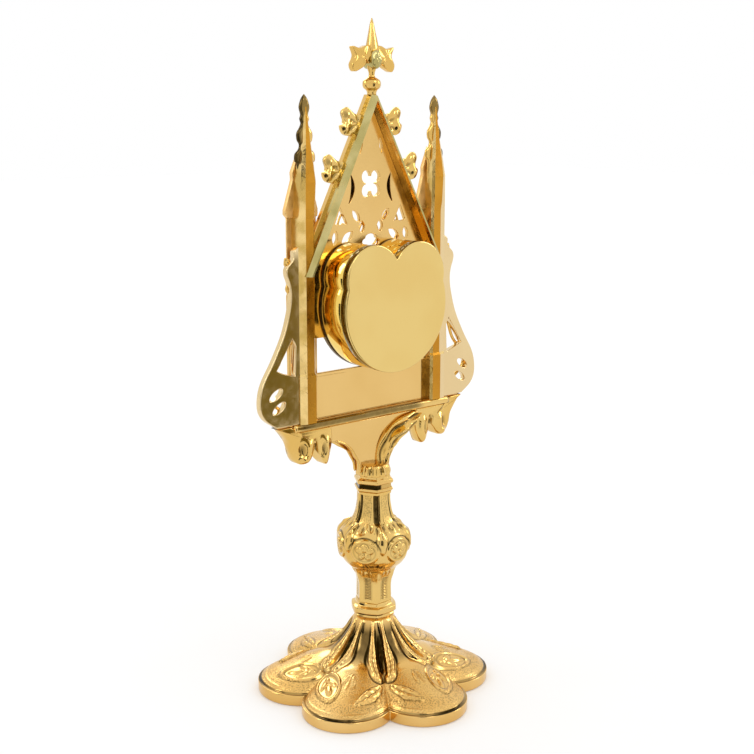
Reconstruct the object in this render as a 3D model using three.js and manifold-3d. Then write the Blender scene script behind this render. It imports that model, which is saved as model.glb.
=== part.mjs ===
// Standing altar reliquary of gilt brass: a six-lobed foot and knopped stem carry a
// Gothic front with a gable, two pinnacles and a three-lobed capsule behind it.
// Millimetres, +Z up. The origin is the middle of the foot's underside; the glazed
// window faces -Y and the capsule's lid faces +Y.
import * as THREE from 'three';
import { mergeVertices } from 'three/addons/utils/BufferGeometryUtils.js';
import Module from 'manifold-3d';

const wasm = await Module();
wasm.setup();

// ---------------------------------------------------------------- driving dimensions
const JOINT = 0.3;                 // gap between touching pieces

// foot
const LOBES = 6;
const LOBE_CENTRE = 33.4;          // distance of a lobe's centre from the axis
const LOBE_RADIUS = 20.6;
const RIM_HEIGHT = 5.9;            // upright band round the foot
const RIM_STEP = 1.3;              // width of the roll between band and slope
const FOOT_NECK = { r: 8.7, z: 34 };
const FOOT_WALL = 2.2;

// stem, outer radius by height
const COLLAR_Z = [34.3, 41];
const STEM_Z = [41.3, 93.9];
const TOP_COLLAR_Z = [94.2, 101];
const FLAT_TO_WIDTH = 0.921;       // a face's distance from the axis over the listed radius
const KNOP_Z = 70.2;
const KNOP_RADIUS = 16;            // turns an angle on the knop into a width

// front, from the bracket up
const BRACKET_Z = 101.3;
const MOULDING = { z0: 127.5, z1: 130.5, half: 44.8 };
const MOULDING_BACK = 27;          // the right-hand end of the roll on the back stops here
const MOULDING_SPLIT_Y = -0.9;
const FRONT_Z = 130.8;             // where the plate and the pillars stand
const PANEL_TOP = 150.5;
const PLATE_Y = [-3.6, -1.7];      // front and back face of the thin plate
const WING_Y = [-2.1, 0.9];
const FRAME_Y = [-5.2, 1];         // front and back of the gable bars and pillars
const PLATE_ROOM_Y = [PLATE_Y[0] - JOINT, PLATE_Y[1] + JOINT];
const ROOM_Y = [-20, 20];          // deeper than the whole front
const LEAF_Y = [-2.4, 0];          // crockets and the pinnacles' outlines
const WING_TOP = 207;

// pillars
const PILLAR_X = 36.2;
const BAR_HALF = 2.5;
const BLOCK_HALF = 7.7;
const SPIRE_TIP = 268.7;
const GABLET_Z = 221;

// gable: the outer edge of a bar is a straight line
const GABLE_FOOT = { x: 34.7, z: 205 };
const GABLE_SLOPE = 0.505;         // sideways run for each millimetre of rise
const GABLE_TOP = 268.6;
const BAR_WIDTH = 4;
const RIB_WIDTH = 1.6;

// capsule: one large round lobe below two small ones
const BIG = { x: 0, z: 179.1, r: 28.6 };
const SMALL = { x: 12.6, z: 191.8, r: 14.8 };
const CASE_Y = [-1.4, 12];
const LID_Y = [12.3, 16.1];
const CASE_WALL = 1.5;
const WINDOW_INSET = 4;

const FINIAL_Z = 268.9;
const FINIAL_Y = -1.2;
const HEIGHT = 300;

// ---------------------------------------------------------------- general helpers
const TURN = Math.PI * 2;
const TURNED_SIDES = 24;           // sides of a turned or six-sided body
const CORBEL_POINTS = 24;          // points of the leaf's outline
const degrees = (d) => d * Math.PI / 180;
const FIRST_LOBE = degrees(90);

function asSolid(geometry) {
  const bare = geometry.clone();
  bare.deleteAttribute('normal');
  bare.deleteAttribute('uv');
  const merged = mergeVertices(bare, 1e-4);
  return new wasm.Manifold(new wasm.Mesh({
    numProp: 3,
    vertProperties: new Float32Array(merged.attributes.position.array),
    triVerts: new Uint32Array(merged.index.array),
  }));
}

function asGeometry(solid) {
  const mesh = solid.getMesh();
  const geometry = new THREE.BufferGeometry();
  geometry.setAttribute('position', new THREE.BufferAttribute(mesh.vertProperties, 3));
  geometry.setIndex(new THREE.BufferAttribute(mesh.triVerts, 1));
  geometry.computeVertexNormals();
  return geometry;
}

// Joins solids into one.
function joined(solids) {
  return solids.reduce((all, solid) => all.add(solid));
}

// A shape drawn in X and Z becomes a slab between two depths in Y.
function slab(shape, [front, back], curveSegments = 8) {
  const options = { depth: back - front, bevelEnabled: false, curveSegments };
  const geometry = new THREE.ExtrudeGeometry(shape, options);
  geometry.rotateX(Math.PI / 2);
  geometry.translate(0, back, 0);
  return asSolid(geometry);
}

// The same slab with its front and back edges chamfered by `bevel`.
function softSlab(shape, [front, back], bevel, curveSegments = 8) {
  const options = {
    depth: back - front - 2 * bevel, bevelThickness: bevel, bevelSize: bevel,
    bevelOffset: -bevel, bevelSegments: 1, curveSegments,
  };
  const geometry = new THREE.ExtrudeGeometry(shape, options);
  geometry.rotateX(Math.PI / 2);
  geometry.translate(0, back - bevel, 0);
  return asSolid(geometry);
}

const polygon = (points) => new THREE.Shape(points.map(([x, z]) => new THREE.Vector2(x, z)));

// A closed smooth outline through the given points.
function smooth(points, divisions) {
  const curve = new THREE.CatmullRomCurve3(points.map(([x, z]) => new THREE.Vector3(x, z, 0)), true);
  return new THREE.Shape(curve.getPoints(divisions).slice(0, -1).map((p) => new THREE.Vector2(p.x, p.y)));
}

function rectangle(x0, x1, z0, z1) {
  return polygon([[x0, z0], [x1, z0], [x1, z1], [x0, z1]]);
}

function ellipse(x, z, rx, rz, turn = 0, count = 6) {
  const shape = new THREE.Shape();
  shape.absellipse(x, z, rx, rz, 0, TURN, false, degrees(turn));
  return new THREE.Shape(shape.getPoints(count).slice(0, -1));
}

const mirrored = (solid) => solid.mirror([1, 0, 0]);
const bothSides = (solid) => solid.add(mirrored(solid));

// A closed body from rings of equally many points, with a point closing each end.
function stack(rings, first, last) {
  const count = rings[0].length;
  const points = [...rings.flat(), first, last];
  const index = [];
  for (let i = 0; i < count; i += 1) {
    const j = (i + 1) % count;
    index.push(points.length - 2, i, j);
    for (let k = 0; k + 1 < rings.length; k += 1) {
      const a = k * count;
      const b = a + count;
      index.push(a + i, b + i, b + j, a + i, b + j, a + j);
    }
    const end = (rings.length - 1) * count;
    index.push(end + i, points.length - 1, end + j);
  }
  const geometry = new THREE.BufferGeometry();
  geometry.setAttribute('position', new THREE.Float32BufferAttribute(points.flat(), 3));
  geometry.setIndex(index);
  return asSolid(geometry);
}

// A post made of level rectangles, from the top down: [z, half width, front y, back y].
function post(x, levels) {
  const rings = levels.map(([z, half, front, back]) => [
    [x - half, front, z], [x + half, front, z], [x + half, back, z], [x - half, back, z],
  ]);
  const middle = ([z, , front, back]) => [x, (front + back) / 2, z];
  return stack(rings, middle(levels[0]), middle(levels[levels.length - 1]));
}

// A turned or six-sided body, from the top down: `radius(angle, z)` at each height.
function turned(heights, radius, segments) {
  const rings = heights.map((z) => Array.from({ length: segments }, (_, i) => {
    const angle = FIRST_LOBE + i * TURN / segments;
    const r = radius(angle, z);
    return [r * Math.cos(angle), r * Math.sin(angle), z];
  }));
  return stack(rings, [0, 0, heights[0]], [0, 0, heights[heights.length - 1]]);
}

// Straight-line reading of a table of [z, value] rows.
function between(table, z) {
  const next = table.findIndex((row) => row[0] >= z);
  if (next <= 0) return table[next < 0 ? table.length - 1 : 0][1];
  const [z0, v0] = table[next - 1];
  const [z1, v1] = table[next];
  return v0 + (v1 - v0) * (z - z0) / (z1 - z0);
}

// Angle from the middle of the nearest lobe or face, from -30 to 30 degrees.
function fromLobe(angle) {
  const sector = TURN / LOBES;
  return angle - FIRST_LOBE - sector * Math.round((angle - FIRST_LOBE) / sector);
}

const bump = (distance) => Math.max(0, 1 - distance * distance) ** 2;
const hexagon = (angle, r) => r * FLAT_TO_WIDTH / Math.cos(fromLobe(angle));

// ---------------------------------------------------------------- foot
function footOutline(angle, inset = 0) {
  const delta = fromLobe(angle);
  const r = LOBE_RADIUS - inset;
  return LOBE_CENTRE * Math.cos(delta) + Math.sqrt(r * r - (LOBE_CENTRE * Math.sin(delta)) ** 2);
}

// Height of the slope at u = 0 (neck) to 1 (top of the rim): a steep hollow curve
// that flattens and rolls over at the rim.
function slope(u) {
  const rise = 0.75 * Math.exp(-3.3 * u) * (1 - u) + 0.25 * (1 - u ** 3);
  return RIM_HEIGHT + (FOOT_NECK.z - RIM_HEIGHT) * rise;
}

// Raised leaves: one down the middle of each lobe, one down each valley, and the
// rounded medallion near each lobe's end.
function footRelief(angle, u) {
  const delta = fromLobe(angle);
  const valley = degrees(30) - Math.abs(delta);
  const leaf = 1.2 * bump(delta / degrees(9)) * bump((u - 0.3) / 0.34);
  const valleyLeaf = 1.5 * bump(valley / degrees(9)) * bump((u - 0.36) / 0.4);
  const side = 0.9 * bump((Math.abs(delta) - degrees(14)) / degrees(8)) * bump((u - 0.68) / 0.2);
  return leaf + valleyLeaf + side;
}

function foot() {
  const segments = LOBES * 10;
  const ring = (radius, height) => Array.from({ length: segments }, (_, i) => {
    const angle = FIRST_LOBE + i * TURN / segments;
    const r = radius(angle);
    return [r * Math.cos(angle), r * Math.sin(angle), height(angle)];
  });
  const outward = (u, inset) => (angle) => FOOT_NECK.r + (footOutline(angle, inset) - FOOT_NECK.r) * u;
  const outer = [0, 0.08, 0.2, 0.36, 0.52, 0.66, 0.8, 0.91, 1]
    .map((u) => ring(outward(u, RIM_STEP), (angle) => slope(u) + footRelief(angle, u)));
  const band = [
    ring((angle) => footOutline(angle), () => RIM_HEIGHT - 1),
    ring((angle) => footOutline(angle), () => 0),
    ring((angle) => footOutline(angle, FOOT_WALL + 0.6), () => 0),
  ];
  const inner = [0.97, 0.5, 0]
    .map((u) => ring(
      (angle) => outward(u, FOOT_WALL + 1.2)(angle) - FOOT_WALL * (1 - u),
      () => slope(u) - FOOT_WALL,
    ));
  return stack([...outer, ...band, ...inner], [0, 0, FOOT_NECK.z], [0, 0, FOOT_NECK.z - FOOT_WALL]);
}

// ---------------------------------------------------------------- stem and collars
function lowerCollar() {
  const profile = [[34.3, 8.6], [35, 10], [35.6, 10.5], [39, 10.5], [39.6, 10], [40, 8.9], [41, 8.6]];
  const heights = profile.map((row) => row[0]).reverse();
  const radius = (angle, z) => 0.5 * between(profile, z) + 0.5 * hexagon(angle, between(profile, z));
  return turned(heights, radius, TURNED_SIDES);
}

const STEM_PROFILE = [
  [41.3, 8], [50, 8], [54, 9], [57.7, 10.5], [60.1, 13.1], [63.2, 15.2], [66.9, 16], [70.2, 16.2],
  [73.6, 16], [76, 14.6], [79.2, 10.9], [82.7, 9.1], [88.5, 8], [92.3, 7.9], [93.9, 8],
];
const STEM_ROUNDNESS = [[50, 0], [54, 0.1], [60.1, 0.8], [79.2, 0.8], [82.7, 0.1], [84, 0]];
const PANELS = [[43, 49], [84.5, 91.5]];      // sunk panels on the six faces

function stemRadius(angle, z) {
  const r = between(STEM_PROFILE, z);
  const round = between(STEM_ROUNDNESS, z);
  const delta = Math.abs(fromLobe(angle));
  const inPanel = PANELS.some(([z0, z1]) => z > z0 && z < z1) && delta < degrees(18);
  const across = KNOP_RADIUS * delta;
  const medallion = 1.1 * (Math.hypot(across, z - KNOP_Z) < 5.6 ? 1 : 0);
  const leafEdge = 0.9 * bump((degrees(30) - delta) / degrees(10)) * bump((z - KNOP_Z) / 8);
  return round * r + (1 - round) * hexagon(angle, r) - (inPanel ? 0.5 : 0) + medallion + leafEdge;
}

function stem() {
  const panelEdges = PANELS.flatMap(([z0, z1]) => [z0, z0 + 0.3, z1 - 0.3, z1]);
  const knop = [65.1, 75.3];
  const heights = [...STEM_PROFILE.map((row) => row[0]), ...panelEdges, ...knop];
  return turned([...new Set(heights)].sort((a, b) => b - a), stemRadius, LOBES * 6);
}

function topCollar() {
  const profile = [[94.2, 8], [96.3, 8.85], [98.9, 8.6], [99.6, 7.7], [101, 7.5]];
  const heights = profile.map((row) => row[0]).reverse();
  return turned(heights, (angle, z) => hexagon(angle, between(profile, z)), TURNED_SIDES);
}

// ---------------------------------------------------------------- bracket
const WEB_Y = [-3.6, 0.4];

function web() {
  const half = [
    [7.8, BRACKET_Z], [8.2, 107], [10, 110], [12.6, 114.4], [16, 117.2], [21, 119.5], [26, 119.8],
    [34, 121], [42, 124], [42.5, MOULDING.z0 - JOINT],
  ];
  return slab(polygon([...half, ...half.map(([x, z]) => [-x, z]).reverse()]), WEB_Y);
}

// A drooping folded leaf at each end, with one large and one small lobe. One of the
// two also rises behind the moulding's end.
function corbel(risesBehind) {
  const outline = smooth([
    [52.8, 132], [51.6, 129.4], [49, 126], [46.7, 122.5], [45.4, 118], [43.3, 114.4], [41, 113.1],
    [38, 114], [34.5, 116.4], [32.3, 114.2], [30, 111.3], [27.9, 110.8], [26, 113], [24.6, 118],
    [24.4, 124], [27, 131], [40, 134],
  ], CORBEL_POINTS);
  const under = MOULDING.z0 - JOINT;
  const side = MOULDING.half + JOINT;
  const top = MOULDING.z1 - 0.2;
  const whole = [[10, 100], [60, 100], [60, top], [side, top], [side, under], [10, under]];
  const strip = rectangle(MOULDING_BACK + JOINT, side + 1, under - 1, top);
  const behind = slab(strip, [MOULDING_SPLIT_Y + JOINT, 20]);
  const below = slab(polygon(whole), ROOM_Y);
  return softSlab(outline, [-5.2, 1.4], 1.1).intersect(risesBehind ? below.add(behind) : below);
}

// A fluted leaf lying along one arm; the arms are twins turned half round.
function armLeaf() {
  const centre = [[5.6, 102.5], [5.6, 107.5], [7.4, 113], [11.6, 118], [17.6, 121.5], [24, 123.2]];
  const half = [1.9, 2.2, 2.9, 3.2, 2.8, 1];
  const curve = new THREE.CatmullRomCurve3(centre.map(([x, z]) => new THREE.Vector3(x, 0, z)));
  const halfAt = half.map((value, i) => [i / (half.length - 1), value]);
  const section = [[-1, 0], [-0.62, 0.9], [-0.3, 0.45], [0, 1], [0.3, 0.45], [0.62, 0.9], [1, 0]];
  const rings = Array.from({ length: 8 }, (_, k) => {
    const u = k / 7;
    const at = curve.getPointAt(u);
    const along = curve.getTangentAt(u);
    const width = between(halfAt, u);
    const top = section.map(([s, h]) => [
      at.x + along.z * s * width, WEB_Y[1] - 0.2 + h * 3, at.z - along.x * s * width,
    ]);
    const base = [[at.x + along.z * width, WEB_Y[1] - 1, at.z - along.x * width],
      [at.x - along.z * width, WEB_Y[1] - 1, at.z + along.x * width]];
    return [...top, ...base];
  });
  const mean = (ring) => [0, 1, 2].map((axis) => ring.reduce((sum, p) => sum + p[axis], 0) / ring.length);
  return stack(rings, mean(rings[0]), mean(rings[rings.length - 1]));
}

function bracket() {
  const socket = turned([106.5, 105.5, 103, BRACKET_Z], (angle, z) => (z > 106 ? 6.4 : 7.6), TURNED_SIDES);
  const rear = mirrored(armLeaf());
  const lift = WEB_Y[0] + WEB_Y[1];
  const front = rear.rotate([0, 0, 180]).translate([0, lift, 0]);
  return joined([web(), corbel(false), mirrored(corbel(true)), socket, rear, front]);
}

function baseMoulding() {
  const { z0, z1, half } = MOULDING;
  const profile = [[-7.2, z1], [-8.2, z1 - 0.9], [-8.2, z0 + 0.8], [-7.4, z0], [1.2, z0], [2, z0 + 0.7],
    [2, z0 + 1.4], [-0.6, z1]];
  const shape = polygon(profile);
  const geometry = new THREE.ExtrudeGeometry(shape, { depth: 2 * half, bevelEnabled: false });
  geometry.rotateX(Math.PI / 2);
  geometry.rotateZ(Math.PI / 2);
  geometry.translate(-half, 0, 0);
  const end = slab(rectangle(MOULDING_BACK, half + 1, z0 - 1, z1 + 1), [MOULDING_SPLIT_Y, 10]);
  return asSolid(geometry).subtract(mirrored(end));
}

// ---------------------------------------------------------------- facade plate
// The capsule's outline, grown or shrunk: arcs of three circles.
function threeLobed(grow = 0) {
  const big = BIG.r + grow;
  const small = SMALL.r + grow;
  const gap = Math.hypot(SMALL.x, SMALL.z - BIG.z);
  const along = (gap * gap + big * big - small * small) / (2 * gap);
  const aside = Math.sqrt(big * big - along * along);
  const ux = SMALL.x / gap;
  const uz = (SMALL.z - BIG.z) / gap;
  const meet = { x: ux * along + uz * aside, z: BIG.z + uz * along - ux * aside };
  const notchZ = SMALL.z + Math.sqrt(SMALL.r ** 2 - SMALL.x ** 2);
  const notch = Math.atan2(grow > 0 ? Math.sqrt(small * small - SMALL.x ** 2) : notchZ - SMALL.z, -SMALL.x);
  const toMeet = Math.atan2(meet.z - SMALL.z, meet.x - SMALL.x);
  const fromMeet = Math.atan2(meet.z - BIG.z, meet.x);
  const arcs = [
    arc(SMALL.x, SMALL.z, small, notch, toMeet, 6),
    arc(0, BIG.z, big, fromMeet, -Math.PI - fromMeet, 15),
    arc(-SMALL.x, SMALL.z, small, Math.PI - toMeet, Math.PI - notch, 6),
  ];
  if (grow < 0) arcs.push(arc(0, notchZ, -grow, -notch, notch - Math.PI, 2));
  return polygon(arcs.flat());
}

// Points along an arc, its end left to the next arc.
function arc(x, z, r, from, to, steps) {
  return Array.from({ length: steps }, (_, i) => {
    const angle = from + (to - from) * i / steps;
    return [x + r * Math.cos(angle), z + r * Math.sin(angle)];
  });
}

function threeLobedRing(outer, inner, depth) {
  const clear = [depth[0] - 1, depth[1] + 1];
  return slab(threeLobed(outer), depth).subtract(slab(threeLobed(inner), clear));
}

function wing() {
  const edge = new THREE.SplineCurve([
    [40.6, 207], [43.6, 204.9], [43.9, 201.8], [47, 198.5], [47.5, 195.5], [46, 191], [45.4, 186.5],
    [46.2, 180.4], [49.2, 170.5], [54.6, 160], [60.6, 150], [62.4, 141.5], [60, 135.5], [53.8, 131],
  ].map(([x, z]) => new THREE.Vector2(x, z))).getPoints(22).map((p) => [p.x, p.y]);
  const inner = PILLAR_X + BAR_HALF + JOINT;
  const body = slab(polygon([[inner, WING_TOP], ...edge, [inner, FRONT_Z]]), WING_Y);
  const through = [WING_Y[0] - 5, WING_Y[1] + 5];
  const triangle = slab(polygon([[45, 168.2], [53.2, 155.6], [50, 154], [44, 152.2], [43.4, 165]]), through);
  const slots = [[54, 145.7], [52.5, 140]].map(([x, z]) => slab(ellipse(x, z, 3.5, 1.55, -33), through));
  return [triangle, ...slots].reduce((left, hole) => left.subtract(hole), body);
}

const gableEdge = (z, inset = 0) => (
  GABLE_FOOT.x - GABLE_SLOPE * (z - GABLE_FOOT.z) - inset * Math.hypot(1, GABLE_SLOPE)
);

// Openings of the tracery on one side, and the middle ones.
function traceryOpenings() {
  const through = [PLATE_Y[0] - 2, PLATE_Y[1] + 2];
  const side = [
    polygon([[13.6, 215.4], [19.6, 215.4], [16.3, 220.4]]), ellipse(8.3, 217.6, 1.1, 2.4, -38),
    ellipse(5.1, 213, 1.5, 2.2), ellipse(13.4, 209.8, 1.5, 3.1, 55), ellipse(20, 209, 1.2, 2.5, 10),
    ellipse(7.9, 232.8, 0.6, 5.4, -12, 6), ellipse(9.4, 224, 0.6, 4.6, -30, 6),
  ];
  const corner = 2.75;
  const quatrefoil = [[1, 1], [-1, 1], [-1, -1], [1, -1]]
    .map(([x, z]) => slab(ellipse(x * corner, 231 + z * corner, 2.5, 2.5), through))
    .concat(slab(rectangle(-corner, corner, 231 - corner, 231 + corner), through));
  const trefoil = [[-2.2, 207.2], [2.2, 207.2], [0, 209]]
    .map(([x, z]) => slab(ellipse(x, z, 2.1, 1.9), through));
  return [...side.map((shape) => bothSides(slab(shape, through))), ...quatrefoil, ...trefoil];
}

function facadePlate() {
  const strip = slab(rectangle(33.7, 45, FRONT_Z, WING_TOP), PLATE_Y);
  const panel = slab(rectangle(-34, 34, FRONT_Z, PANEL_TOP + 0.6), PLATE_Y);
  const ridgeY = [PLATE_Y[1] - 0.5, PLATE_Y[1] + 0.8];
  const ridge = slab(rectangle(15, 33, PANEL_TOP - 0.8, PANEL_TOP + 0.6), ridgeY);
  const lugs = slab(rectangle(24, 34, 172, 190), PLATE_Y);
  const inset = BAR_WIDTH - 1.9;
  const upper = 262;
  const tracery = slab(polygon([
    [0, upper], [gableEdge(upper, inset), upper], [gableEdge(203.5, inset), 203.5], [0, 194],
    [-gableEdge(203.5, inset), 203.5], [-gableEdge(upper, inset), upper],
  ]), PLATE_Y);
  const disc = slab(threeLobed(-0.2), PLATE_Y);
  const pairs = [wing(), strip, ridge, lugs].map(bothSides);
  const solid = joined([...pairs, panel, tracery, disc]);
  const window = slab(threeLobed(-WINDOW_INSET), ROOM_Y);
  const openings = [...traceryOpenings(), window, bothSides(slab(notchInStrip(), ROOM_Y))];
  return openings.reduce((left, hole) => left.subtract(hole), solid);
}

// The wing's triangle is open through the strip behind it too.
const notchInStrip = () => polygon([[43.6, 152.2], [46, 152.2], [46, 166], [43.6, 165]]);

// ---------------------------------------------------------------- pillars
// Silhouette of the front of a pinnacle, right half, from the tip down.
const SPIRE = [
  [0, SPIRE_TIP], [1.6, 266.8], [2.9, 263.4], [2, 260], [2.6, 258.2], [2, 256.4], [3, 255],
  [4.8, 252.8], [4.6, 249.6], [3.4, 248], [3.6, 246.4], [6, 244.2], [6, 241.2], [4.6, 239.4], [4.6, 230],
];

// The steep little gable in front of the spire's foot, with a cornice under it.
function gabletOutline() {
  const half = [
    [1.2, 246], [5.2, 237], [5, 234], [9, GABLET_Z + 0.6], [9, GABLET_Z - 1.2], [BLOCK_HALF, GABLET_Z - 2.6],
  ];
  const right = half.map(([x, z]) => [PILLAR_X + x, z]);
  const left = half.map(([x, z]) => [PILLAR_X - x, z]).reverse();
  return polygon([...right, ...left]);
}

function pinnacle() {
  const halves = SPIRE.map(([x, z]) => [PILLAR_X + x, z]);
  const others = SPIRE.slice(1).map(([x, z]) => [PILLAR_X - x, z]).reverse();
  const spire = softSlab(polygon([...halves, ...others]), LEAF_Y, 0.4);
  const gablet = slab(gabletOutline(), [-3.6, -1.2]);
  const blockFace = rectangle(PILLAR_X - BLOCK_HALF, PILLAR_X + BLOCK_HALF, FRONT_Z, GABLET_Z - 2);
  const block = slab(blockFace, [FRAME_Y[0] + 0.5, PLATE_Y[0] - JOINT]);
  const shafts = [-1, 1].map((side) => post(PILLAR_X + side * 4.4, [
    [GABLET_Z - 3, 0.9, -6.2, -4], [FRONT_Z + 22, 0.9, -6.2, -4], [FRONT_Z + 21, 1.6, -6.6, -4],
    [FRONT_Z, 1.6, -6.6, -4],
  ]));
  const [front, back] = [PLATE_Y[0] - 0.6, FRAME_Y[1]];
  const bar = post(PILLAR_X, [
    [263.5, 0.3, -1.4, -0.2], [250, 1.6, -2, 1], [240, 2.7, -2.4, 1.8], [233, 3.1, -3.2, 2.2],
    [GABLET_Z + 1, 2.9, -3.6, 1.8], [GABLET_Z - 1, BAR_HALF, front, back], [FRONT_Z, BAR_HALF, front, back],
  ]);
  const pedestal = post(PILLAR_X, [
    [PANEL_TOP + 2.4, BAR_HALF, front, back], [PANEL_TOP + 1, BAR_HALF + 0.35, front, back + 0.5],
    [FRONT_Z, BAR_HALF + 0.35, front, back + 0.5],
  ]);
  const slot = slab(rectangle(20, 50, FRONT_Z - 5, WING_TOP + JOINT), PLATE_ROOM_Y);
  const gableRoom = slab(polygon([
    [gableEdge(200, -JOINT), 200], [gableEdge(240, -JOINT), 240], [0, 240], [0, 200],
  ]), ROOM_Y);
  const wingFace = rectangle(PILLAR_X + BAR_HALF + 0.05, 60, FRONT_Z - 2, WING_TOP + JOINT);
  const wingRoom = slab(wingFace, [PLATE_Y[1] - 0.6, 10]);
  const solid = joined([spire, gablet, block, ...shafts, bar, pedestal]);
  return [slot, gableRoom, wingRoom].reduce((left, room) => left.subtract(room), solid);
}

// ---------------------------------------------------------------- gable and finial
// A band of the gable's bars between two insets from the outer edge.
function gableBand(inset0, inset1, depth, low = GABLE_FOOT.z - 2) {
  const outerLow = [gableEdge(low, inset0), low];
  const outerTop = [Math.max(0, gableEdge(GABLE_TOP, inset0)), GABLE_TOP];
  const innerLow = [gableEdge(low, inset1), low];
  const innerTop = [0, GABLE_FOOT.z + (GABLE_FOOT.x - inset1 * Math.hypot(1, GABLE_SLOPE)) / GABLE_SLOPE];
  if (innerTop[1] > GABLE_TOP) {
    return bothSides(slab(polygon([outerLow, outerTop, [0.01, GABLE_TOP], innerLow]), depth));
  }
  return slab(polygon([
    outerLow, outerTop, [-outerTop[0], GABLE_TOP], [-outerLow[0], low], [-innerLow[0], low],
    innerTop, innerLow,
  ]), depth);
}

// A crocket: a leaf that leaves the bar, with one lobe curled up and one down.
function crocket(x, z) {
  const leaf = smooth([
    [-2.2, -4.6], [0.8, -3.4], [3, -4.6], [6, -3.6], [7.3, -0.6], [5.8, 1.4], [6.4, 5.2], [4.2, 7.4],
    [0, 4.6], [-4.6, 3.6],
  ].map(([dx, dz]) => [x + dx, z + dz]), 14);
  return softSlab(leaf, [LEAF_Y[0] - 0.6, LEAF_Y[1]], 0.6);
}

function gableFrame() {
  const band = gableBand(0, BAR_WIDTH, [-3.4, -1.2]);
  const lip = gableBand(1.4, BAR_WIDTH - 0.4, [FRAME_Y[0], -3.2]);
  const rib = gableBand(BAR_WIDTH - RIB_WIDTH, BAR_WIDTH, [-1.6, FRAME_Y[1]]);
  const crockets = [[9.6, 256], [19.2, 236.6]].map(([x, z]) => bothSides(crocket(x, z)));
  const slotInset = BAR_WIDTH - 1.9 - JOINT;
  const slot = slab(polygon([
    [gableEdge(200, slotInset), 200], [gableEdge(262, slotInset), 262], [0, 262.4],
    [-gableEdge(262, slotInset), 262], [-gableEdge(200, slotInset), 200],
  ]), PLATE_ROOM_Y);
  const pillarRoom = slab(rectangle(PILLAR_X - BAR_HALF - 0.6 - JOINT, 60, 190, 230), ROOM_Y);
  const blockRoom = slab(rectangle(PILLAR_X - BLOCK_HALF - JOINT, 60, 190, GABLET_Z), [-20, PLATE_Y[0]]);
  const rooms = [slot, bothSides(pillarRoom), bothSides(blockRoom)];
  return rooms.reduce((left, room) => left.subtract(room), joined([band, lip, rib, ...crockets]));
}

function finial() {
  const round = (rows) => {
    const rising = [...rows].reverse();
    return turned(rows.map((row) => row[0]), (angle, z) => between(rising, z), 12);
  };
  const bead = round([[275.8, 2], [274.8, 3.9], [273, 4.4], [271.4, 3.8], [270.2, 2.6], [FINIAL_Z, 2.6]]);
  const stalk = round([[288, 2.4], [284, 3.2], [278, 2.4], [275, 2]]);
  const spike = post(0, [[HEIGHT, 0.25, -0.25, 0.25], [294, 1.3, -1.3, 1.3], [288, 2.4, -2.1, 2.1],
    [285, 2.6, -2.4, 2.4]]);
  const leaf = smooth([
    [-1, 279], [3, 281.4], [6.4, 279.4], [10.2, 278], [11.9, 280.6], [10, 284.4], [11.4, 288.4], [7.4, 287.6],
    [3.6, 288.8], [-1, 288],
  ], 14);
  const arms = bothSides(softSlab(leaf, [-2, 2], 0.7));
  const knob = softSlab(ellipse(0, 283.4, 3, 3.8), [-4.4, 4.4], 1.2);
  return joined([bead, stalk, spike, arms, knob]).translate([0, FINIAL_Y, 0]);
}

// ---------------------------------------------------------------- capsule and window
function capsuleCase() {
  const outside = -0.3;
  const neck = -CASE_WALL - 0.3;
  const wall = threeLobedRing(outside, outside - CASE_WALL, CASE_Y);
  const spigot = threeLobedRing(outside - CASE_WALL + 0.2, neck - 1.4, [CASE_Y[1] - 2, CASE_Y[1] + 2.2]);
  return wall.add(spigot);
}

function capsuleLid() {
  const skirt = threeLobedRing(0, -CASE_WALL, LID_Y);
  return skirt.add(slab(threeLobed(-0.2), [LID_Y[1] - 1.4, LID_Y[1]]));
}

function windowFrame() {
  const back = PLATE_Y[0] - JOINT;
  const flat = threeLobedRing(-0.9, -WINDOW_INSET - 0.8, [back - 1.4, back]);
  const bead = threeLobedRing(-1.9, -WINDOW_INSET + 0.2, [back - 2.6, back - 1]);
  return flat.add(bead);
}

const windowGlass = () => slab(threeLobed(-WINDOW_INSET - JOINT), [PLATE_Y[0], PLATE_Y[0] + 1.6]);

// ---------------------------------------------------------------- assembly
const gilt = (color = 0xd9a544, roughness = 0.22) => (
  new THREE.MeshStandardMaterial({ color, roughness, metalness: 1 })
);
const clear = () => new THREE.MeshStandardMaterial({
  color: 0xf2f7f6, roughness: 0.05, metalness: 0, transparent: true, opacity: 0.25,
});

const PIECES = {
  foot: [foot, gilt(0xd9a84a, 0.3)],
  lower_collar: [lowerCollar, gilt()],
  stem: [stem, gilt(0xd9a84a, 0.26)],
  top_collar: [topCollar, gilt()],
  bracket: [bracket, gilt(0xd9a84a, 0.28)],
  base_moulding: [baseMoulding, gilt()],
  facade_plate: [facadePlate, gilt(0xdfb05c, 0.2)],
  pinnacle_left: [pinnacle, gilt(0xd9a84a, 0.26)],
  pinnacle_right: [() => mirrored(pinnacle()), gilt(0xd9a84a, 0.26)],
  gable_frame: [gableFrame, gilt(0xd9b25a, 0.3)],
  finial: [finial, gilt(0xd9a84a, 0.28)],
  capsule_case: [capsuleCase, gilt(0xd9a544, 0.12)],
  capsule_lid: [capsuleLid, gilt(0xdfb05c, 0.12)],
  window_frame: [windowFrame, gilt()],
  window_glass: [windowGlass, clear()],
};

const reliquary = new THREE.Group();
reliquary.name = 'reliquary';
for (const [name, [make, material]] of Object.entries(PIECES)) {
  const mesh = new THREE.Mesh(asGeometry(make()), material);
  mesh.name = name;
  reliquary.add(mesh);
}

export default reliquary;
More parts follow.
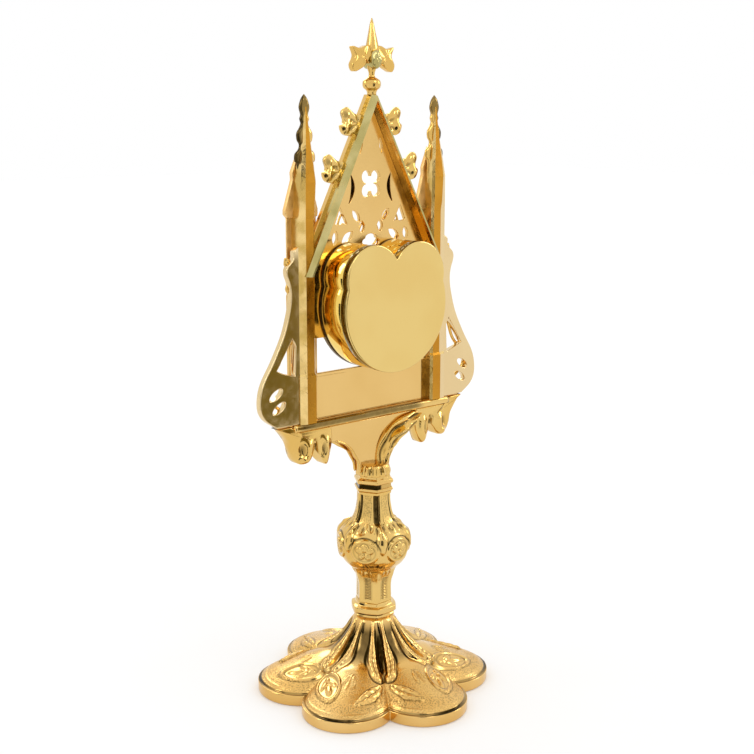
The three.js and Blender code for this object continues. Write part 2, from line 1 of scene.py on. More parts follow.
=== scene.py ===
"""Looks of the gilt reliquary: a six-lobed foot, a knopped stem, a bracket of leaves and
a pierced Gothic front with the three-lobed capsule behind it.

Shapes are worked out in millimetres in the frame of the CAD model (+Z up, the window
faces -Y, the capsule's lid faces +Y) and put into meshes in metres. Left is +X. Marks are
numbers on a piece's points: the shade mark darkens the gilding as painted shade and
painted dark reflection in hollows, creases and shadowed places, and `matt` roughens a
punched part.
"""
import math

import bmesh
import bpy
import numpy as np
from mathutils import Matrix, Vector


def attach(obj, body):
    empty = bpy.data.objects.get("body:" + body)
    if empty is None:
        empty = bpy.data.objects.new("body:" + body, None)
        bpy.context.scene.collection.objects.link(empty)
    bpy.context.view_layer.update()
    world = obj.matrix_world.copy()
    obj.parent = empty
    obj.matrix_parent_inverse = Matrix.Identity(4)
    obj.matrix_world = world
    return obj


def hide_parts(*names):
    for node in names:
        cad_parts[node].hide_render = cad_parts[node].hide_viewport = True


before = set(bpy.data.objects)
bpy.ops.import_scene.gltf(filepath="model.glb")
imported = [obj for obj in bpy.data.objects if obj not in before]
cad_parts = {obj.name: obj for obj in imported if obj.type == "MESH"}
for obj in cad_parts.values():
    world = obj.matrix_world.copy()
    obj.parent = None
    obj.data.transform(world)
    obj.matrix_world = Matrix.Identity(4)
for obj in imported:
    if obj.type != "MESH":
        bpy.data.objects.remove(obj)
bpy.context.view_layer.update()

MM = 0.001
TURN = 2 * np.pi
HANDS = ((1, "left"), (-1, "right"))
FLAT_ABOVE = {"none": 2.0, "square to Y": 0.995, "all": -1.0}


# ------------------------------------------------------------------ shader nodes
def put(tree, socket, value):
    """Links a socket to another one, or sets it to a plain value."""
    if isinstance(value, bpy.types.NodeSocket):
        tree.links.new(value, socket)
    else:
        socket.default_value = value


def fill(tree, made, inputs):
    """Links or sets a node's inputs, by name or number."""
    for socket, value in inputs.items():
        put(tree, made.inputs[socket], value)


def add_node(tree, kind, inputs=None, **settings):
    """A shader node of a kind, with its settings, and with its inputs linked or set."""
    made = tree.nodes.new("ShaderNode" + kind)
    for setting, value in settings.items():
        setattr(made, setting, value)
    fill(tree, made, inputs or {})
    return made


def new_group(name, inputs, outputs):
    """A shader group from inputs {name: default} and outputs {name: kind}: the group, and
    its sockets as they are seen from inside."""
    group = bpy.data.node_groups.new(name, "ShaderNodeTree")
    for socket, value in inputs.items():
        kind = "NodeSocketColor" if isinstance(value, tuple) else "NodeSocketFloat"
        made = group.interface.new_socket(name=socket, in_out="INPUT", socket_type=kind)
        made.default_value = value
    for socket, kind in outputs.items():
        group.interface.new_socket(name=socket, in_out="OUTPUT", socket_type=kind)
    start, end = group.nodes.new("NodeGroupInput"), group.nodes.new("NodeGroupOutput")
    return group, start.outputs, end.inputs


def maths(tree, operation, *values, clamp=False):
    """The result of one sum on sockets or numbers."""
    sums = add_node(tree, "Math", dict(enumerate(values)), operation=operation, use_clamp=clamp)
    return sums.outputs[0]


def own_place(tree):
    """Object coordinates: a point's place on the part."""
    return add_node(tree, "TexCoord").outputs["Object"]


def noise(tree, place, scale, detail=3.0):
    """Cloudy values round 0.5, about `scale` clouds to the metre."""
    inputs = {"Vector": place, "Scale": scale, "Detail": detail, "Roughness": 0.55}
    return add_node(tree, "TexNoise", inputs).outputs["Fac"]


def cells(tree, place, scale):
    """Distance to the nearest of scattered points, about `scale` of them to the metre."""
    return add_node(tree, "TexVoronoi", {"Vector": place, "Scale": scale}).outputs["Distance"]


def spread(tree, value, low, high):
    """Maps low..high to 0..1 with soft ends."""
    inputs = {"Value": value, "From Min": low, "From Max": high}
    return add_node(tree, "MapRange", inputs, interpolation_type="SMOOTHSTEP").outputs["Result"]


def mix_colour(tree, share, first, second):
    """The first colour at share 0, the second at share 1."""
    return add_node(tree, "Mix", {0: share, 6: first, 7: second}, data_type="RGBA").outputs[2]


def gilding_group():
    """Colour of fire gilding: cloudy change between two tones, mixed towards the umber
    tone by painted shade that cloudy noise makes uneven.
    """
    group, start, end = new_group(
        "gilding tone",
        {"Pale": (0.76, 0.5, 0.16, 1), "Deep": (0.7, 0.42, 0.11, 1), "Painted Shade": 0.0,
         "Umber": (0.05, 0.03, 0.006, 1), "Cloud Scale": 30.0},
        {"Color": "NodeSocketColor"})
    place = own_place(group)
    cloud = spread(group, noise(group, place, start["Cloud Scale"], 2.0), 0.35, 0.65)
    tone = mix_colour(group, cloud, start["Pale"], start["Deep"])
    # cloudy unevenness in the depth of the painted shade
    shade_variation = maths(group, "MULTIPLY_ADD", noise(group, place, 420.0), 0.35, -0.17)
    shade_variation = maths(group, "MULTIPLY", shade_variation, start["Painted Shade"])
    dark = maths(group, "ADD", start["Painted Shade"], shade_variation, clamp=True)
    put(group, end["Color"], mix_colour(group, dark, tone, start["Umber"]))
    return group


def skin_group():
    """The casting's skin: the height of its fine grain, sparse round pits, slow ripple and
    punched dots, the hollows of the dots alone, and the cloudy wear of the polish."""
    group, start, end = new_group(
        "casting skin",
        {"Grain": 0.2, "Pits": 0.2, "Ripple": 0.2, "Stipple": 0.0, "Grain Scale": 2600.0},
        {"Height": "NodeSocketFloat", "Wear": "NodeSocketFloat", "Dots": "NodeSocketFloat"})
    place = own_place(group)
    pit = spread(group, cells(group, place, 330.0), 0.05, 0.2)
    rare = spread(group, noise(group, place, 190.0, 1.0), 0.5, 0.56)
    dots = spread(group, cells(group, place, 1500.0), 0.15, 0.6)
    heights = {
        "Grain": noise(group, place, start["Grain Scale"], 4.0),
        "Pits": maths(group, "MULTIPLY", pit, rare),
        "Ripple": noise(group, place, 90.0, 1.0),
        "Stipple": dots,
    }
    grain, pits, ripple, punched = (maths(group, "MULTIPLY", value, start[share])
                                    for share, value in heights.items())
    cast, worked = maths(group, "ADD", grain, pits), maths(group, "ADD", ripple, punched)
    put(group, end["Height"], maths(group, "ADD", cast, worked))
    hollow = maths(group, "SUBTRACT", 1.0, dots)
    put(group, end["Dots"], maths(group, "MULTIPLY", hollow, start["Stipple"]))
    put(group, end["Wear"], spread(group, noise(group, place, 260.0, 4.0), 0.4, 0.66))
    return group


GILDING = gilding_group()
SKIN = skin_group()


# ------------------------------------------------------------------ materials
def new_material(name):
    """A material, its node tree and its shader."""
    material = bpy.data.materials.new(name)
    material.use_nodes = True
    return material, material.node_tree, material.node_tree.nodes["Principled BSDF"]


def gilt(name, pale, deep, roughness, grain, pits, ripple, bump, cloud=30.0,
         umber=(0.022, 0.013, 0.002)):
    """Gilt brass between two tones. Grain, pits and ripple are shares of a skin that is
    `bump` millimetres high, and `cloud` is how close the changes of tone lie. `umber` is
    the dark tone of the painted shade, laid on by the shade mark and in the punched dots."""
    material, tree, shader = new_material(name)
    # the shade mark is painted shade in hollows, creases and shadowed places; matt marks punched parts
    recess, matt = (add_node(tree, "Attribute", attribute_name=mark).outputs["Fac"]
                    for mark in ("recess", "matt"))
    skin = add_node(tree, "Group", {
        "Grain": grain, "Pits": pits, "Ripple": ripple,
        "Stipple": maths(tree, "MULTIPLY", matt, 3.0),
    }, node_tree=SKIN).outputs
    # the punched dots are darkened as painted shade in their hollows
    dot_shade = maths(tree, "MULTIPLY", skin["Dots"], 0.2)
    tone = add_node(tree, "Group", {
        "Pale": (*pale, 1), "Deep": (*deep, 1), "Umber": (*umber, 1), "Cloud Scale": cloud,
        "Painted Shade": maths(tree, "ADD", recess, dot_shade, clamp=True),
    }, node_tree=GILDING).outputs["Color"]
    worn = maths(tree, "MULTIPLY", skin["Wear"], roughness * 0.5)
    dull = maths(tree, "MULTIPLY", matt, 0.25)
    relief = add_node(tree, "Bump", {"Strength": 1.0, "Distance": bump * MM, "Height": skin["Height"]})
    fill(tree, shader, {
        "Metallic": 1.0, "Base Color": tone, "Normal": relief.outputs["Normal"],
        "Roughness": maths(tree, "ADD", maths(tree, "ADD", worn, dull), roughness * 0.75),
    })
    return material


FOOT_GILT = gilt("gilt foot", (0.82, 0.54, 0.2), (0.75, 0.46, 0.14), 0.16, 0.4, 0.05, 0.3, 0.03)
CAST_GILT = gilt("cast gilt", (0.77, 0.52, 0.17), (0.72, 0.45, 0.12), 0.15, 0.25, 0.05, 0.5, 0.02)
POLISHED_GILT = gilt("polished gilt", (0.78, 0.53, 0.18), (0.73, 0.46, 0.14), 0.12, 0.2, 0.03, 0.3,
                     0.02)
PLATE_GILT = gilt("plate gilt", (0.76, 0.5, 0.18), (0.73, 0.47, 0.16), 0.13, 0.25, 0.02, 0, 0.01)
WING_GILT = gilt("wing gilt", (0.78, 0.6, 0.32), (0.75, 0.56, 0.29), 0.14, 0.25, 0.02, 0, 0.01)
# the lid's umber is the olive tone of the painted shadow on its skirt
LID_GILT = gilt("lid gilt", (0.77, 0.56, 0.2), (0.75, 0.53, 0.18), 0.1, 0.15, 0.02, 0, 0.01,
                umber=(0.05, 0.045, 0.014))
DRUM_GILT = gilt("drum gilt", (0.92, 0.66, 0.17), (0.85, 0.57, 0.11), 0.05, 0.1, 0.02, 1.6, 0.05)
PITTED_GILT = gilt("pitted gilt", (0.58, 0.49, 0.21), (0.44, 0.37, 0.13), 0.22, 0.4, 0.4, 0.3, 0.05,
                   90.0)
BAR_GILT = gilt("bar gilt", (0.86, 0.62, 0.25), (0.6, 0.4, 0.11), 0.2, 0.4, 0.4, 0.9, 0.06, 110.0)
TAN_GILT = gilt("tan gilt", (0.86, 0.57, 0.23), (0.8, 0.51, 0.19), 0.5, 0.3, 0.02, 0, 0.01)
UMBER_GILT = gilt("umber gilt", (0.58, 0.28, 0.03), (0.5, 0.22, 0.02), 0.36, 0.3, 0.1, 0.2, 0.03)


def clear_glass():
    """Clear glass by plain values; only faint streaks in its surface move the light."""
    material, tree, shader = new_material("clear glass")
    streaks = noise(tree, own_place(tree), 120.0, 2.0)
    relief = add_node(tree, "Bump", {"Distance": 0.01 * MM, "Height": streaks})
    fill(tree, shader, {
        "Base Color": (0.97, 0.99, 0.98, 1), "Roughness": 0.03, "IOR": 1.5,
        "Transmission Weight": 1.0, "Normal": relief.outputs["Normal"],
    })
    return material


# ------------------------------------------------------------------ meshes
def face_normals(mesh):
    """A row of xyz for each face."""
    normals = np.empty(len(mesh.polygons) * 3)
    mesh.polygons.foreach_get("normal", normals)
    return normals.reshape(-1, 3)


def set_marks(mesh, marks):
    """Writes marks {name: a value for each point} on a mesh."""
    for name, values in marks.items():
        layer = mesh.attributes.new(name, "FLOAT", "POINT")
        layer.data.foreach_set("value", np.asarray(values, dtype=np.float32).ravel())


def add_piece(name, node, mesh, material, flat):
    """An object at the origin that rides on the part and stands for a CAD node. Its faces
    are smooth, but flat where their normal's share along Y is above the named limit."""
    steep = np.abs(face_normals(mesh)[:, 1]) > FLAT_ABOVE[flat]
    mesh.polygons.foreach_set("use_smooth", ~steep)
    mesh.materials.clear()
    mesh.materials.append(material)
    piece = bpy.data.objects.new(name, mesh)
    bpy.context.scene.collection.objects.link(piece)
    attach(piece, "root")
    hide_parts(node)
    return piece


def enclosed(points, groups):
    """Six times the signed volume: a · (b × c) over the triangles of each face's fan."""
    fans = np.vstack([faces[:, [0, i, i + 1]] for faces in groups for i in range(1, faces.shape[1] - 1)])
    a, b, c = (points[fans[:, i]] for i in range(3))
    return float(np.sum(a * np.cross(b, c)))


def body(name, node, parts, material, marks=None, flat="none"):
    """One mesh of closed parts, each its points in millimetres and its arrays of faces.
    A part that encloses a negative volume is turned outwards."""
    points, faces, start = [], [], 0
    for part_points, groups in parts:
        order = 1 if enclosed(part_points, groups) >= 0 else -1
        faces += [face for group in groups for face in (group[:, ::order] + start).tolist()]
        points.append(part_points)
        start += len(part_points)
    mesh = bpy.data.meshes.new(name)
    mesh.from_pydata((np.vstack(points) * MM).tolist(), [], faces)
    set_marks(mesh, marks or {})
    return add_piece(name, node, mesh, material, flat)


def shell(name, node, rings, material, flat="none", **marks):
    """A body from rings with both ends closed, its marks given on the rings' grid. An end's
    middle point takes the mean of its ring's marks."""
    for mark, values in marks.items():
        values = np.broadcast_to(values, rings.shape[:2])
        marks[mark] = np.append(values, [values[0].mean(), values[-1].mean()])
    return body(name, node, [capped(rings)], material, marks, flat)


def full_turn(count):
    """Evenly spaced angles, once round."""
    return np.linspace(0, TURN, count, endpoint=False)


def grid(x, y, z):
    """Points from three coordinates, each spread over the whole grid."""
    return np.stack(np.broadcast_arrays(x, y, z), -1)


def net(rows, columns, joined=False):
    """Quads of a grid whose columns run round; `joined` also joins last row to first."""
    r = np.arange(rows if joined else rows - 1)[:, None]
    c = np.arange(columns)[None, :]
    after = (c + 1) % columns
    below = (r + 1) % rows
    quads = (r * columns + c, r * columns + after, below * columns + after, below * columns + c)
    return np.stack(quads, -1).reshape(-1, 4)


def capped(rings):
    """Points and faces of a body from rings (row, column, xyz), each end closed by a fan
    to the middle of its ring."""
    rows, columns = rings.shape[:2]
    points = np.vstack([rings.reshape(-1, 3), rings[0].mean(0), rings[-1].mean(0)])
    c = np.arange(columns)
    after = (c + 1) % columns
    first = np.stack([np.full(columns, rows * columns), after, c], -1)
    base = (rows - 1) * columns
    last = np.stack([np.full(columns, rows * columns + 1), base + c, base + after], -1)
    return points, [net(rows, columns), first, last]


def looped(rings):
    """Points and faces of a ring-shaped body: the rows join end to end."""
    return rings.reshape(-1, 3), [net(rings.shape[0], rings.shape[1], joined=True)]


def soft_step(value, low, high):
    """0 below low, 1 above high, with a smooth rise between."""
    t = np.clip((value - low) / (high - low), 0, 1)
    return t * t * (3 - 2 * t)


def mound(distance):
    """1 at distance 0, falling smoothly to 0 at distance 1."""
    return np.clip(1 - distance ** 2, 0, None) ** 2


def spline(points, count, closed=True):
    """A Catmull-Rom curve through the points, as `count` points (whole-array formula)."""
    points = np.asarray(points, dtype=float)
    n = len(points)
    t = np.linspace(0, n if closed else n - 1, count, endpoint=not closed)
    k = np.minimum(t.astype(int), n - 1 if closed else n - 2)
    f = (t - k)[:, None]
    pick = (lambda i: points[i % n]) if closed else (lambda i: points[np.clip(i, 0, n - 1)])
    a, b, c, d = pick(k - 1), pick(k), pick(k + 1), pick(k + 2)
    return 0.5 * (2 * b + (c - a) * f + (2 * a - 5 * b + 4 * c - d) * f ** 2
                  + (3 * b - a - 3 * c + d) * f ** 3)


def densified(points, step):
    """A closed outline of straight sides with points about `step` apart, corners kept."""
    points = np.asarray(points, dtype=float)
    after = np.roll(points, -1, 0)
    counts = np.maximum(1, np.round(np.hypot(*(after - points).T) / step).astype(int))
    parts = [p + (q - p) * np.linspace(0, 1, n, endpoint=False)[:, None]
             for p, q, n in zip(points, after, counts)]
    return np.vstack(parts)


def mirrored(outline):
    """The outline with X turned round, kept in the same winding."""
    return (outline * [-1, 1])[::-1]


def on_side(outline, side):
    """An outline drawn for the left, or its mirror image for the right (side -1)."""
    return outline if side > 0 else mirrored(outline)


def ellipse(x, z, rx, rz, turn=0.0, count=40):
    """An oval turned by some degrees: a circle stretched to rx and rz, then turned."""
    angle = full_turn(count)
    c, s = math.cos(math.radians(turn)), math.sin(math.radians(turn))
    u, v = rx * np.cos(angle), rz * np.sin(angle)
    return np.stack([x + u * c - v * s, z + u * s + v * c], -1)


def area(outline):
    """Signed area: half the sum of x * next z - next x * z."""
    x, z = outline.T
    return 0.5 * np.sum(x * np.roll(z, -1) - np.roll(x, -1) * z)


def openwork(name, node, outline, openings, y, soften, material, recess=0.0):
    """A pierced plate between two depths: the outline and openings are filled as a flat
    curve, thickened with rounded edges, made a mesh and stood up in X and Z."""
    curve = bpy.data.curves.new(name + " outline", "CURVE")
    curve.dimensions = "2D"
    curve.fill_mode = "BOTH"
    curve.extrude = ((y[1] - y[0]) / 2 - soften) * MM
    curve.bevel_depth = soften * MM
    curve.bevel_resolution = 2
    curve.offset = -soften * MM
    for loop, winding in [(outline, 1)] + [(hole, -1) for hole in openings]:
        if area(loop) * winding < 0:
            loop = loop[::-1]
        line = curve.splines.new("POLY")
        line.points.add(len(loop) - 1)
        flat = np.column_stack([loop * MM, np.zeros(len(loop)), np.ones(len(loop))])
        line.points.foreach_set("co", flat.ravel())
        line.use_cyclic_u = True
    holder = bpy.data.objects.new(name + " outline", curve)
    mesh = bpy.data.meshes.new_from_object(holder)
    bpy.data.objects.remove(holder)
    bpy.data.curves.remove(curve)
    mesh.name = name
    weld(mesh)
    place = np.empty(len(mesh.vertices) * 3)
    mesh.vertices.foreach_get("co", place)
    x, up, depth = place.reshape(-1, 3).T
    mesh.vertices.foreach_set("co", grid(x, (y[0] + y[1]) / 2 * MM - depth, up).ravel())
    mesh.update()
    if recess:
        set_marks(mesh, {"recess": np.full(len(x), recess)})
    return add_piece(name, node, mesh, material, "square to Y")


def plate_pair(name, outline, y, soften, material, recess=0.0):
    """A small plate of the facade on the left and its mirror image on the right."""
    for side, hand in HANDS:
        openwork(f"{name}_{hand}", "facade_plate", on_side(outline, side), [], y, soften, material, recess)


def weld(mesh):
    """Merges doubled points, so the plate is one closed skin."""
    work = bmesh.new()
    work.from_mesh(mesh)
    bmesh.ops.remove_doubles(work, verts=work.verts, dist=1e-6)
    work.to_mesh(mesh)
    work.free()


def shrunk(outline, centre, t):
    """X and Z of an outline drawn in towards its centre, a row for each t from 1 to 0."""
    x, z = (middle + t * (line - middle) for line, middle in zip(outline.T, centre))
    return x, z


def leaf_rings(x, z, front, back):
    """Rings from the middle of a leaf's front out to its rim and back in over its back."""
    return np.concatenate([grid(x, front, z)[::-1], grid(x, back, z)])


def pillow(outline, centre, faces_y, crown, folds, waves, levels, phase=0.0):
    """A cushioned leaf: the outline shrinks towards `centre` in steps t from 1 to 0 while
    each face swells by crown * sqrt(1 - t^3), and `folds` adds ripples that fan out from
    the centre. faces_y are the depths of the leaf's rim, front then back."""
    t = np.cos(np.linspace(0, np.pi / 2, levels, endpoint=False))[:, None]
    x, z = shrunk(outline, centre, t)
    angle = np.arctan2(outline[:, 1] - centre[1], outline[:, 0] - centre[0])
    swell = crown * np.sqrt(1 - t ** 3) + folds * (1 - t ** 6) * t * np.cos(waves * angle + phase)
    return capped(leaf_rings(x, z, faces_y[0] - swell, faces_y[1] + swell))


def post(x, levels, front_cut, back_cut):
    """Rings of an upright bar from rows (z, half width, front, back, flare): level
    rectangles of eight points, their front and rear corners cut. The outer side runs out
    as a sloped apron, `flare` wide."""
    z, half, front, back, flare = np.asarray(levels, dtype=float).T
    low, high = np.minimum(front_cut, half * 0.4), np.minimum(back_cut, half * 0.4)
    foot = half + flare
    drop = np.where(flare > 0, 0.9, high)
    xs = np.stack([-half + low, foot - low, foot, foot, half - high, -half + high, -half, -half], -1)
    ys = np.stack([front, front, front + low, back - drop, back, back, back - high, front + low], -1)
    return grid(x + xs, ys, z[:, None])


def turned(profile, columns, centre, rows, radius=None):
    """A turned body round an upright axis from (z, r) rows, drawn through them smoothly."""
    z, r = spline(profile, rows, closed=False).T[:, :, None]
    angle = full_turn(columns)
    around = r * (radius(angle) if radius else 1)
    return capped(grid(centre[0] + around * np.cos(angle), centre[1] + around * np.sin(angle), z))


def about_axis(r, angle, z):
    """Points round the upright axis from radius, angle and height."""
    return grid(r * np.cos(angle), r * np.sin(angle), z)


def from_nearest(angle, first, step):
    """Angle from the nearest of the directions first, first + step, first + 2 step ..."""
    return angle - first - step * np.round((angle - first) / step)


# ------------------------------------------------------------------ foot
LOBES = 6
LOBE_CENTRE, LOBE_RADIUS = 33.4, 20.6
RIM_Z, RIM_ROLL = 5.9, 1.3
NECK_R, NECK_Z = 8.7, 34.0
FOOT_WALL = 2.2
FOOT_COLUMNS, SLOPE_ROWS = LOBES * 108, 104
SECTOR = TURN / LOBES
FIRST_LOBE, HALF_LOBE = math.radians(90), math.radians(30)
FIRST_VALLEY = math.radians(60)  # every second valley is deeper: at 60, 180 and 300 degrees


def from_lobe(angle):
    """Angle from the middle of the nearest lobe, from -30 to 30 degrees."""
    return from_nearest(angle, FIRST_LOBE, SECTOR)


def foot_outline(angle, inset=0.0):
    """Far side of the lobe's circle as seen from the axis."""
    delta = from_lobe(angle)
    r = LOBE_RADIUS - inset
    side = np.clip(r ** 2 - (LOBE_CENTRE * np.sin(delta)) ** 2, 0, None)
    return LOBE_CENTRE * np.cos(delta) + np.sqrt(side)


def foot_slope(u):
    """A steep hollow curve near the neck that flattens and rolls over at the rim."""
    return RIM_Z + (NECK_Z - RIM_Z) * (0.75 * np.exp(-3.3 * u) * (1 - u) + 0.25 * (1 - u ** 3))


def turn_plane(along, across, turn):
    """The same point measured from axes turned by an angle."""
    c, s = math.cos(turn), math.sin(turn)
    return along * c + across * s, across * c - along * s


def oval(out, across, centre, half, turn):
    """Distance from an oval's middle, 1 on its edge."""
    a, b = out - centre[0], across - centre[1]
    c, s = math.cos(turn), math.sin(turn)
    return np.hypot((a * c + b * s) / half[0], (b * c - a * s) / half[1])


def foot_relief(angle, r, u):
    """Height, painted shade and punched ground of the chasing. Ribs that widen into leaves run
    down beside every valley with deep polished flutes between them; the flutes, the valleys,
    the veins, the grooves round the leaf tips and the outlines of the ovals and leaves are
    darkened as painted shade and painted dark reflection. Each half lobe next to a main
    valley carries a long folded leaf, and each half lobe next to a second valley an oval
    with a figure of leaves."""
    delta = from_lobe(angle)
    valley = HALF_LOBE - np.abs(delta)
    main = np.abs(from_nearest(angle, FIRST_VALLEY, TURN / 3))
    second = soft_step(main, math.radians(29.5), math.radians(30.5))
    across_valley = r * valley
    # ribs and flutes
    leaf_end = 27.5
    centre = r * np.radians(12.0 - 5.4 * soft_step(r, 18, 28))
    half = 0.95 + 1.85 * soft_step(r, 11, 21) * np.sqrt(np.clip(1 - (r / leaf_end) ** 6, 0, 1))
    side = (across_valley - centre) / half
    inside = soft_step(1 - np.abs(side), 0, 0.45) * soft_step(leaf_end - r, 0, 1.2)
    zone = soft_step(r, 9.2, 11.2) * soft_step(leaf_end - 1.5 - r, 0, 6)
    flute = zone * (1 - inside)
    vein = mound(side / 0.26)
    blade = 1.45 - 0.75 * vein - 0.3 * np.abs(side) + 0.08 * np.cos(r * 3.2)
    height = inside * soft_step(r, 9.0, 11) * blade - 1.3 * flute
    # painted shade and painted dark reflection: along the flutes, down the valleys, deep in the upper
    # flutes, in the veins and round the leaf tips
    recess = 0.9 * zone * mound((np.abs(side) - 1.3) / 0.42) * (1 - inside)
    recess += 0.8 * zone * mound(across_valley / 1.1) * soft_step(r, 10, 14)
    recess += 0.8 * zone * (1 - inside) * soft_step(23 - r, 0, 7)
    recess += 0.5 * inside * vein * soft_step(r, 12, 16)
    tip = mound((np.hypot(across_valley - centre, (r - leaf_end + 2.2) * 0.8) - 3.0) / 0.8)
    tip = tip * soft_step(r, 22, 26) * (1 - 0.6 * second)
    recess += 0.85 * tip
    height -= 0.7 * tip
    # pointed oval with a raised rim, lying along the main valley's direction
    p, q = r * np.cos(main), r * np.sin(main)
    far, wide = turn_plane(p - 26.0, q - 25.1, 0.08)
    long, broad = far / 9.6, wide / 5.1
    ring = np.sqrt(long ** 2 + broad ** 2 + 0.16 * np.abs(long * broad))
    height += second * (0.65 * mound((ring - 1) / 0.17) - 0.3 * soft_step(0.95 - ring, 0, 0.3))
    # painted shade in the grooves by the oval's rim and round its figure of leaves
    recess += second * (0.4 * mound((ring - 0.84) / 0.08) + 0.45 * mound((ring - 1.16) / 0.08))
    petals = [((2.6, 0), (4.4, 1.3), 0), ((-1.2, 1.9), (3.4, 1.15), 0.55),
              ((-1.2, -1.9), (3.4, 1.15), -0.55), ((-5.0, 0), (2.0, 1.0), 0)]
    figure = np.minimum.reduce([oval(far, wide, *petal) for petal in petals])
    height += second * 0.85 * soft_step(1.05 - figure, 0, 0.6)
    recess += second * 0.35 * mound((figure - 1.2) / 0.2) * (ring < 0.9)
    # folded leaf from the notch outwards, beside the main valley
    along, aside = turn_plane(p - 30.7, q - 1.5, math.radians(52))
    reach = np.clip(along / 17.9, 0, 1)
    width = 0.2 + 2.5 * np.sin(np.pi * reach) ** 0.8
    fold = (aside + 0.8 * np.sin(np.pi * reach)) / width
    present = (1 - second) * soft_step(along, 0, 1.2) * soft_step(18.2 - along, 0, 1.2)
    leaf = soft_step(1 - np.abs(fold), 0, 0.35) * present
    barbs = np.cos((reach * 15 - np.abs(fold) * 1.6) * 2)
    height += leaf * (1.05 - 0.75 * mound(fold / 0.35) + 0.12 * barbs)
    # painted shade round the folded leaf, along its middle and round the inner oval
    recess += 0.6 * mound((np.abs(fold) - 1.12) / 0.2) * present + 0.5 * leaf * mound(fold / 0.22)
    inner = oval(p, q, (37.2, 4.2), (5.2, 1.2), 0.36)
    height += 0.6 * soft_step(1.05 - inner, 0, 0.6) * (1 - leaf) * (1 - second)
    recess += 0.3 * mound((inner - 1.2) / 0.2) * (1 - leaf) * (1 - second)
    # small leaf on the lobe's axis and sprigs beside it
    across = r * np.abs(np.sin(delta))
    sprig = oval(r * np.cos(delta), across, (31.5, 1.9), (3.4, 0.95), 0.32)
    stem = mound(across / 0.5) * soft_step(r, 27, 29) * soft_step(38 - r, 0, 3)
    height += 0.6 * soft_step(1.05 - sprig, 0, 0.7) + 0.3 * stem
    # painted shade round the sprig
    recess += 0.3 * mound((sprig - 1.25) / 0.2)
    # punched ground, with a closer row of dots inside the rim
    busy = np.maximum(leaf, second * soft_step(1.25 - ring, 0, 0.1))
    ground = soft_step(r, 24, 29) * (1 - busy) * (1 - flute) * 0.45
    ground = np.maximum(ground, soft_step(u, 0.8, 0.84) * soft_step(0.955 - u, 0, 0.02))
    height += 0.16 * mound((u - 0.965) / 0.02)
    return height, np.clip(recess, 0, 1), ground


def make_foot():
    """Rows from the neck down the slope, over a stepped roll and the upright band, and
    back up inside as an even wall. Rows are radius, height, painted shade and matt."""
    angle = full_turn(FOOT_COLUMNS) + FIRST_LOBE
    u = np.linspace(0, 1, SLOPE_ROWS)[:, None] ** 0.85
    r = NECK_R + (foot_outline(angle, RIM_ROLL + 0.5) - NECK_R) * u
    height, recess, ground = foot_relief(angle, r, u)
    fade = soft_step(1 - u, 0, 0.03)
    rows = [(r, foot_slope(u) + height * fade, recess * fade, ground)]
    # the step under the roll is darkened as a painted shadow, darkest in the middle of each lobe
    steps = [(-1.45, 5.75, 0.7), (-1.42, 5.5, 1.0), (-1.4, 4.95, 1.0), (-0.8, 4.9, 1.0), (-0.3, 4.9, 0.9),
             (-0.12, 4.82, 0), (-0.02, 4.6, 0), (0, 4.0, 0), (0, 1.6, 0), (-0.03, 0.5, 0),
             (-0.18, 0.15, 0), (-0.5, 0, 0)]
    middle = 0.45 + 0.55 * mound(from_lobe(angle) / math.radians(20))
    rows += [(foot_outline(angle, -inset), level, dark * middle, 0) for inset, level, dark in steps]
    rows.append((foot_outline(angle, FOOT_WALL + 0.6), 0, 0, 0))
    under = np.array([0.97, 0.85, 0.66, 0.5, 0.3, 0.12, 0])[:, None]
    inner = NECK_R + (foot_outline(angle, FOOT_WALL + 1.2) - NECK_R) * under - FOOT_WALL * (1 - under)
    # the inside wall under the foot is lightly darkened as painted shade
    rows.append((inner, foot_slope(under) - FOOT_WALL - 0.6, 0.25, 1))
    r, z, recess, matt = (np.vstack([row[i] * np.ones_like(row[0]) for row in rows]) for i in range(4))
    shell("foot_shell", "foot", about_axis(r, angle, z), FOOT_GILT, recess=recess, matt=matt)


# ------------------------------------------------------------------ stem and collars
FLAT_TO_WIDTH = 0.921
STEM_FOOT, STEM_TOP = 41.3, 93.9
STEM_COLUMNS, STEM_ROWS = LOBES * 60, 270
STEM_PROFILE = [
    (STEM_FOOT, 8), (44, 8), (50, 8), (54, 9), (57.7, 10.5), (60.1, 13.1), (63.2, 15.2), (66.9, 16),
    (70.2, 16.2), (73.6, 16), (76, 14.6), (79.2, 10.9), (82.7, 9.1), (88.5, 8), (92.3, 7.9), (STEM_TOP, 8),
]
ROUNDNESS = [(50, 0), (54, 0.1), (60.1, 0.8), (79.2, 0.8), (82.7, 0.1), (84, 0)]
KNOP_Z, KNOP_R = 68.8, 16.2
KNOP_TURN = math.radians(5)


def hexagon(angle, r):
    """Distance to a six-sided outline whose faces point along the lobes."""
    return r * FLAT_TO_WIDTH / np.cos(from_lobe(angle))


